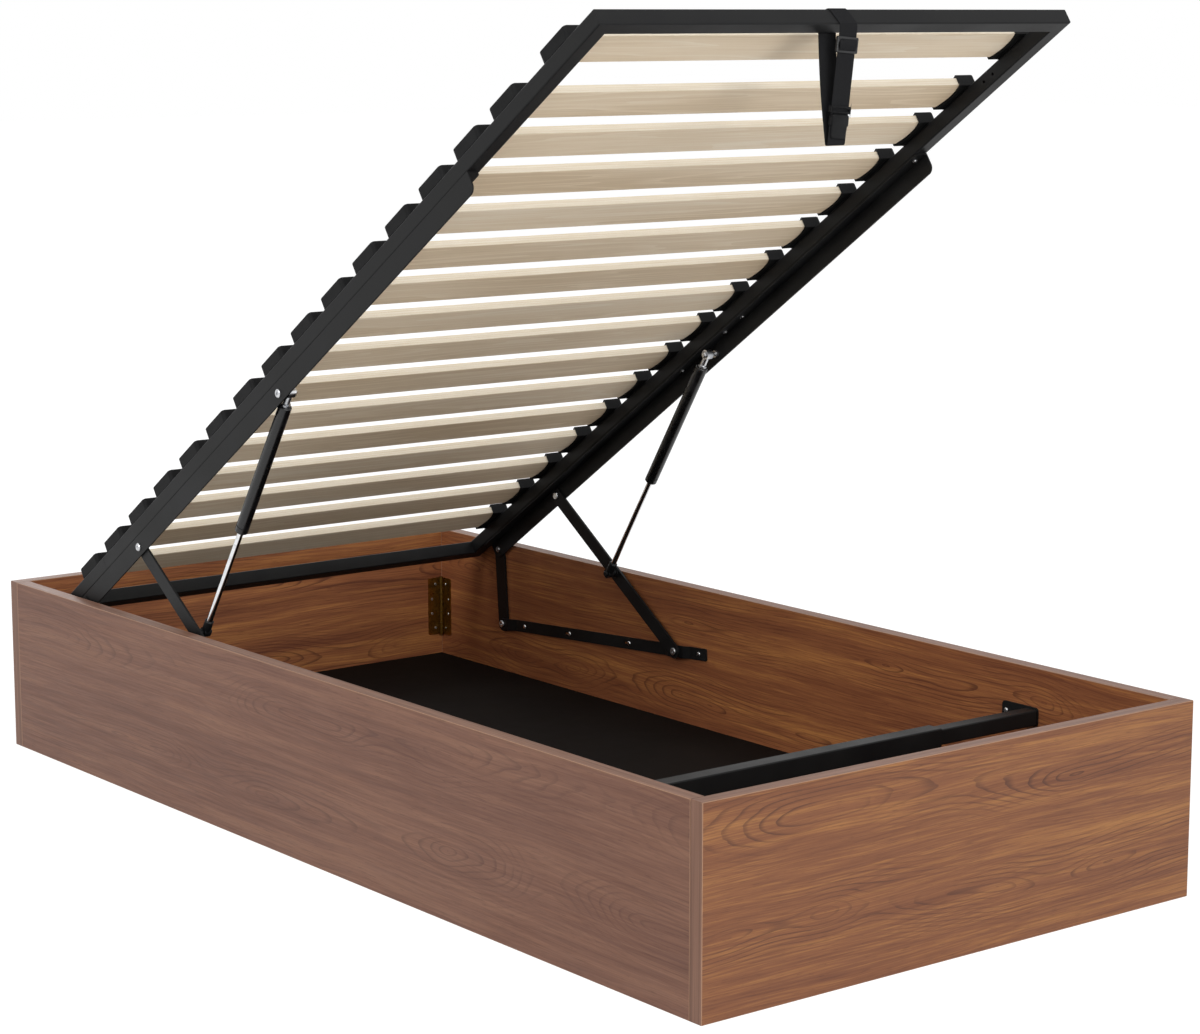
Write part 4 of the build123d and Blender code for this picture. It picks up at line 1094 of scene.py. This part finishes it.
@dataclass
class PullStrap:
    """The loop of webbing on the foot tube, swept in one piece, with its slider and buckle."""

    route: StrapRoute = StrapRoute()
    clasps: Clasps = Clasps()
    width: float = 0.033
    edge_round: float = 0.0005
    slider_drop: float = 0.0225
    plug_drop: float = 0.1135
    socket_drop: float = 0.1372
    turn_steps: int = 6
    turn_low: float = 0.0012
    turn_rise: float = 0.0026
    turn_width: float = 0.032

    @staticmethod
    def _stations(points: Sequence[Vector], closed: bool) -> list[Matrix]:
        """Return a placement for the webbing's section at each point, square to the route."""
        stations = []
        last = len(points) - 1
        for index, point in enumerate(points):
            ahead = points[(index + 1) % len(points)] if closed else points[min(index + 1, last)]
            behind = points[index - 1] if closed else points[max(index - 1, 0)]
            way = ahead - behind
            turn = Matrix.Rotation(math.atan2(-way.y, way.z), 4, "X")
            stations.append(Matrix.Translation(point) @ turn)
        return stations + stations[:1] if closed else stations

    def _sweep(self, points: Sequence[Vector], width: float, closed: bool) -> bmesh.types.BMesh:
        """Return webbing swept along a route and laid out in metres on its UV map.

        Args:
            points: The route's middle line.
            width: The webbing's width.
            closed: True where the route ends at its start.

        Returns:
            A closed mesh.
        """
        mesh = bmesh.new()
        sheet = mesh.loops.layers.uv.new("webbing")
        bmesh.ops.create_grid(mesh, x_segments=1, y_segments=1, size=0.5)
        bmesh.ops.scale(mesh, vec=(width, self.route.thickness, 1.0), verts=mesh.verts)
        bevel(mesh, mesh.verts[:], self.edge_round, 2, "VERTICES")
        bmesh.ops.delete(mesh, geom=mesh.faces[:], context="FACES_ONLY")
        stations = self._stations(points, closed)
        bmesh.ops.transform(mesh, matrix=stations[0], verts=mesh.verts)
        edges = mesh.edges[:]
        length = 0.0
        for before, after in zip(stations, stations[1:]):
            step = (after.translation - before.translation).length
            grown = bmesh.ops.extrude_edge_only(mesh, edges=edges)["geom"]
            fresh = [part for part in grown if isinstance(part, bmesh.types.BMVert)]
            bmesh.ops.transform(mesh, matrix=after @ before.inverted(), verts=fresh)
            for face in (part for part in grown if isinstance(part, bmesh.types.BMFace)):
                for corner in face.loops:
                    new = corner.vert in fresh
                    centre = after if new else before
                    across = corner.vert.co.x - centre.translation.x
                    corner[sheet].uv = (across, length + step if new else length)
            edges = [part for part in grown if isinstance(part, bmesh.types.BMEdge)]
            length += step
        bmesh.ops.remove_doubles(mesh, verts=mesh.verts, dist=WELD_DISTANCE)
        if not closed:
            rims = [edge for edge in mesh.edges if edge.is_boundary]
            bmesh.ops.holes_fill(mesh, edges=rims, sides=0)
        LOG.info("webbing swept over %.0f mm", length / MILLIMETRE)
        return mesh

    def _slider_turn(self) -> bmesh.types.BMesh:
        """Return the turn of webbing that bulges over the slider's middle bar."""
        reach = self.clasps.slider_size[1] / 2 - self.clasps.slider_bar
        place = self.route.on_strand(self.slider_drop)
        points = []
        for step in range(-self.turn_steps, self.turn_steps + 1):
            share = step / self.turn_steps
            bulge = self.turn_low + self.turn_rise * math.cos(share * math.pi / 2)
            points.append(place @ Vector((0.0, reach * share, bulge)))
        return self._sweep(points, self.turn_width, False)

    def build(self) -> None:
        """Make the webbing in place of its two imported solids, and its slider and buckle."""
        woven = WovenWebbing("strap_webbing").material()
        mesh = self._sweep(self.route.loop(), self.width, True)
        replaced = ("pull_strap_wrap", "pull_strap_drop")
        strap = new_piece("pull_strap_webbing", mesh, None, woven, replaced)
        self.route.pivot()
        self.route.below()
        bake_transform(strap)
        new_piece("pull_strap_slider_turn", self._slider_turn(), "pull_strap", woven)
        gloss = GlossPaint("clasp_black", colour="#0d0d0e", sheen=(0.3, 0.44)).material()
        matt = MouldedPlastic("buckle_black", colour="#070708").material()
        clasps = self.clasps
        for name, shape, drop, material, stands_for in (
            ("webbing_slider", clasps.slider(), self.slider_drop, gloss, "strap_slider"),
            ("buckle_plug", clasps.plug(), self.plug_drop, matt, "strap_buckle_plug"),
            ("buckle_socket", clasps.socket(), self.socket_drop, matt, "strap_buckle_socket"),
        ):
            bmesh.ops.transform(shape, matrix=self.route.on_strand(drop), verts=shape.verts)
            new_piece(name, shape, "pull_strap", material, (stands_for,))


@dataclass(frozen=True)
class Lamp:
    """One square softbox: where it hangs, what it faces, its power and its side."""

    name: str
    place: Point
    target: Point
    power: float
    size: float = 4.0

    def hang(self) -> None:
        """Make the lamp."""
        data = bpy.data.lights.new(self.name, "AREA")
        data.shape = "SQUARE"
        data.size = self.size
        data.energy = self.power
        lamp = bpy.data.objects.new(self.name, data)
        aim = (Vector(self.target) - Vector(self.place)).to_track_quat("-Z", "Y")
        lamp.matrix_world = Matrix.Translation(self.place) @ aim.to_matrix().to_4x4()
        bpy.context.scene.collection.objects.link(lamp)


@dataclass
class Studio:
    """The camera, the lamps, the pale floor and the white surroundings."""

    lens: float = 89.41
    sensor: float = 36.0
    camera_place: Point = (-2.90534, -3.87473, 1.32117)
    camera_turn: Point = (math.radians(80.409), 0.0, math.radians(-37.926))
    camera_sight: float = 200.0
    floor_size: float = 60.0
    floor_paint: Rgba = (0.8, 0.8, 0.8, 1.0)
    floor_lift: float = 0.7
    floor_glow: float = 1.3
    surround: float = 0.4
    lamps: tuple[Lamp, ...] = (
        Lamp("key", (-1.5, -7.5, 6.4), (0.0, 0.0, 0.4), 330.0),
        Lamp("low", (1.0, -9.9, 1.3), (0.0, 0.0, 0.6), 270.0),
        Lamp("fill", (-8.0, -1.5, 5.5), (0.0, 0.0, 0.3), 320.0),
        Lamp("back", (2.0, 8.0, 5.0), (0.0, 0.3, 0.6), 140.0),
    )

    def build(self) -> None:
        """Make everything around the object."""
        scene = bpy.context.scene
        scene.view_settings.view_transform = "Standard"
        self._camera(scene)
        self._floor()
        self._surroundings(scene)
        for lamp in self.lamps:
            lamp.hang()

    def _camera(self, scene: bpy.types.Scene) -> None:
        """Place the camera where the photograph was taken from."""
        data = bpy.data.cameras.new("camera")
        data.lens = self.lens
        data.sensor_width = self.sensor
        data.sensor_fit = "HORIZONTAL"
        data.clip_end = self.camera_sight
        camera = bpy.data.objects.new("camera", data)
        camera.location = self.camera_place
        camera.rotation_euler = self.camera_turn
        scene.collection.objects.link(camera)
        scene.camera = camera

    def _floor(self) -> None:
        """Lay a white floor that keeps a soft shadow."""
        mesh = bmesh.new()
        bmesh.ops.create_grid(mesh, x_segments=1, y_segments=1, size=self.floor_size / 2)
        data = bpy.data.meshes.new("studio_floor")
        mesh.to_mesh(data)
        mesh.free()
        floor = bpy.data.objects.new("studio_floor", data)
        bpy.context.scene.collection.objects.link(floor)
        graph = Graph.for_material("studio_floor")
        lift = self._seen(graph) * self.floor_lift
        paint = graph.node("ShaderNodeBsdfDiffuse", {}, {"Color": self.floor_paint})
        sockets = {"Color": WHITE, "Strength": self.floor_glow}
        glow = graph.node("ShaderNodeEmission", {}, sockets)
        mixed = graph.node("ShaderNodeMixShader", {}, {0: lift, 1: paint, 2: glow})
        graph.close("ShaderNodeOutputMaterial", mixed)
        data.materials.append(graph.owner)

    @staticmethod
    def _seen(graph: Graph) -> Value:
        """Return one for rays from the camera, and for reflected and refracted ones."""
        rays = graph.node("ShaderNodeLightPath", {}, {}, "Is Camera Ray")
        outputs = rays.socket.node.outputs
        glossy = Value(graph, outputs["Is Glossy Ray"])
        through = Value(graph, outputs["Is Transmission Ray"])
        return rays.either(glossy).either(through)

    def _surroundings(self, scene: bpy.types.Scene) -> None:
        """Surround the object with even light that looks white."""
        world = bpy.data.worlds.new("surroundings")
        scene.world = world
        graph = Graph(world)
        level = self._seen(graph) * (1 - self.surround) + self.surround
        sockets = {"Color": WHITE, "Strength": level}
        graph.close("ShaderNodeOutputWorld", graph.node("ShaderNodeBackground", {}, sockets))


def main() -> None:
    """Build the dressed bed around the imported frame."""
    logging.basicConfig(level=logging.INFO, format="%(name)s: %(message)s")
    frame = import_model()
    nodes = frame["nodes"]
    Studio().build()
    Box(nodes).build()
    Hardware(nodes).build()
    SlatDeck(nodes).build()
    PullStrap().build()
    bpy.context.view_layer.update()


if __name__ == "__main__":
    main()
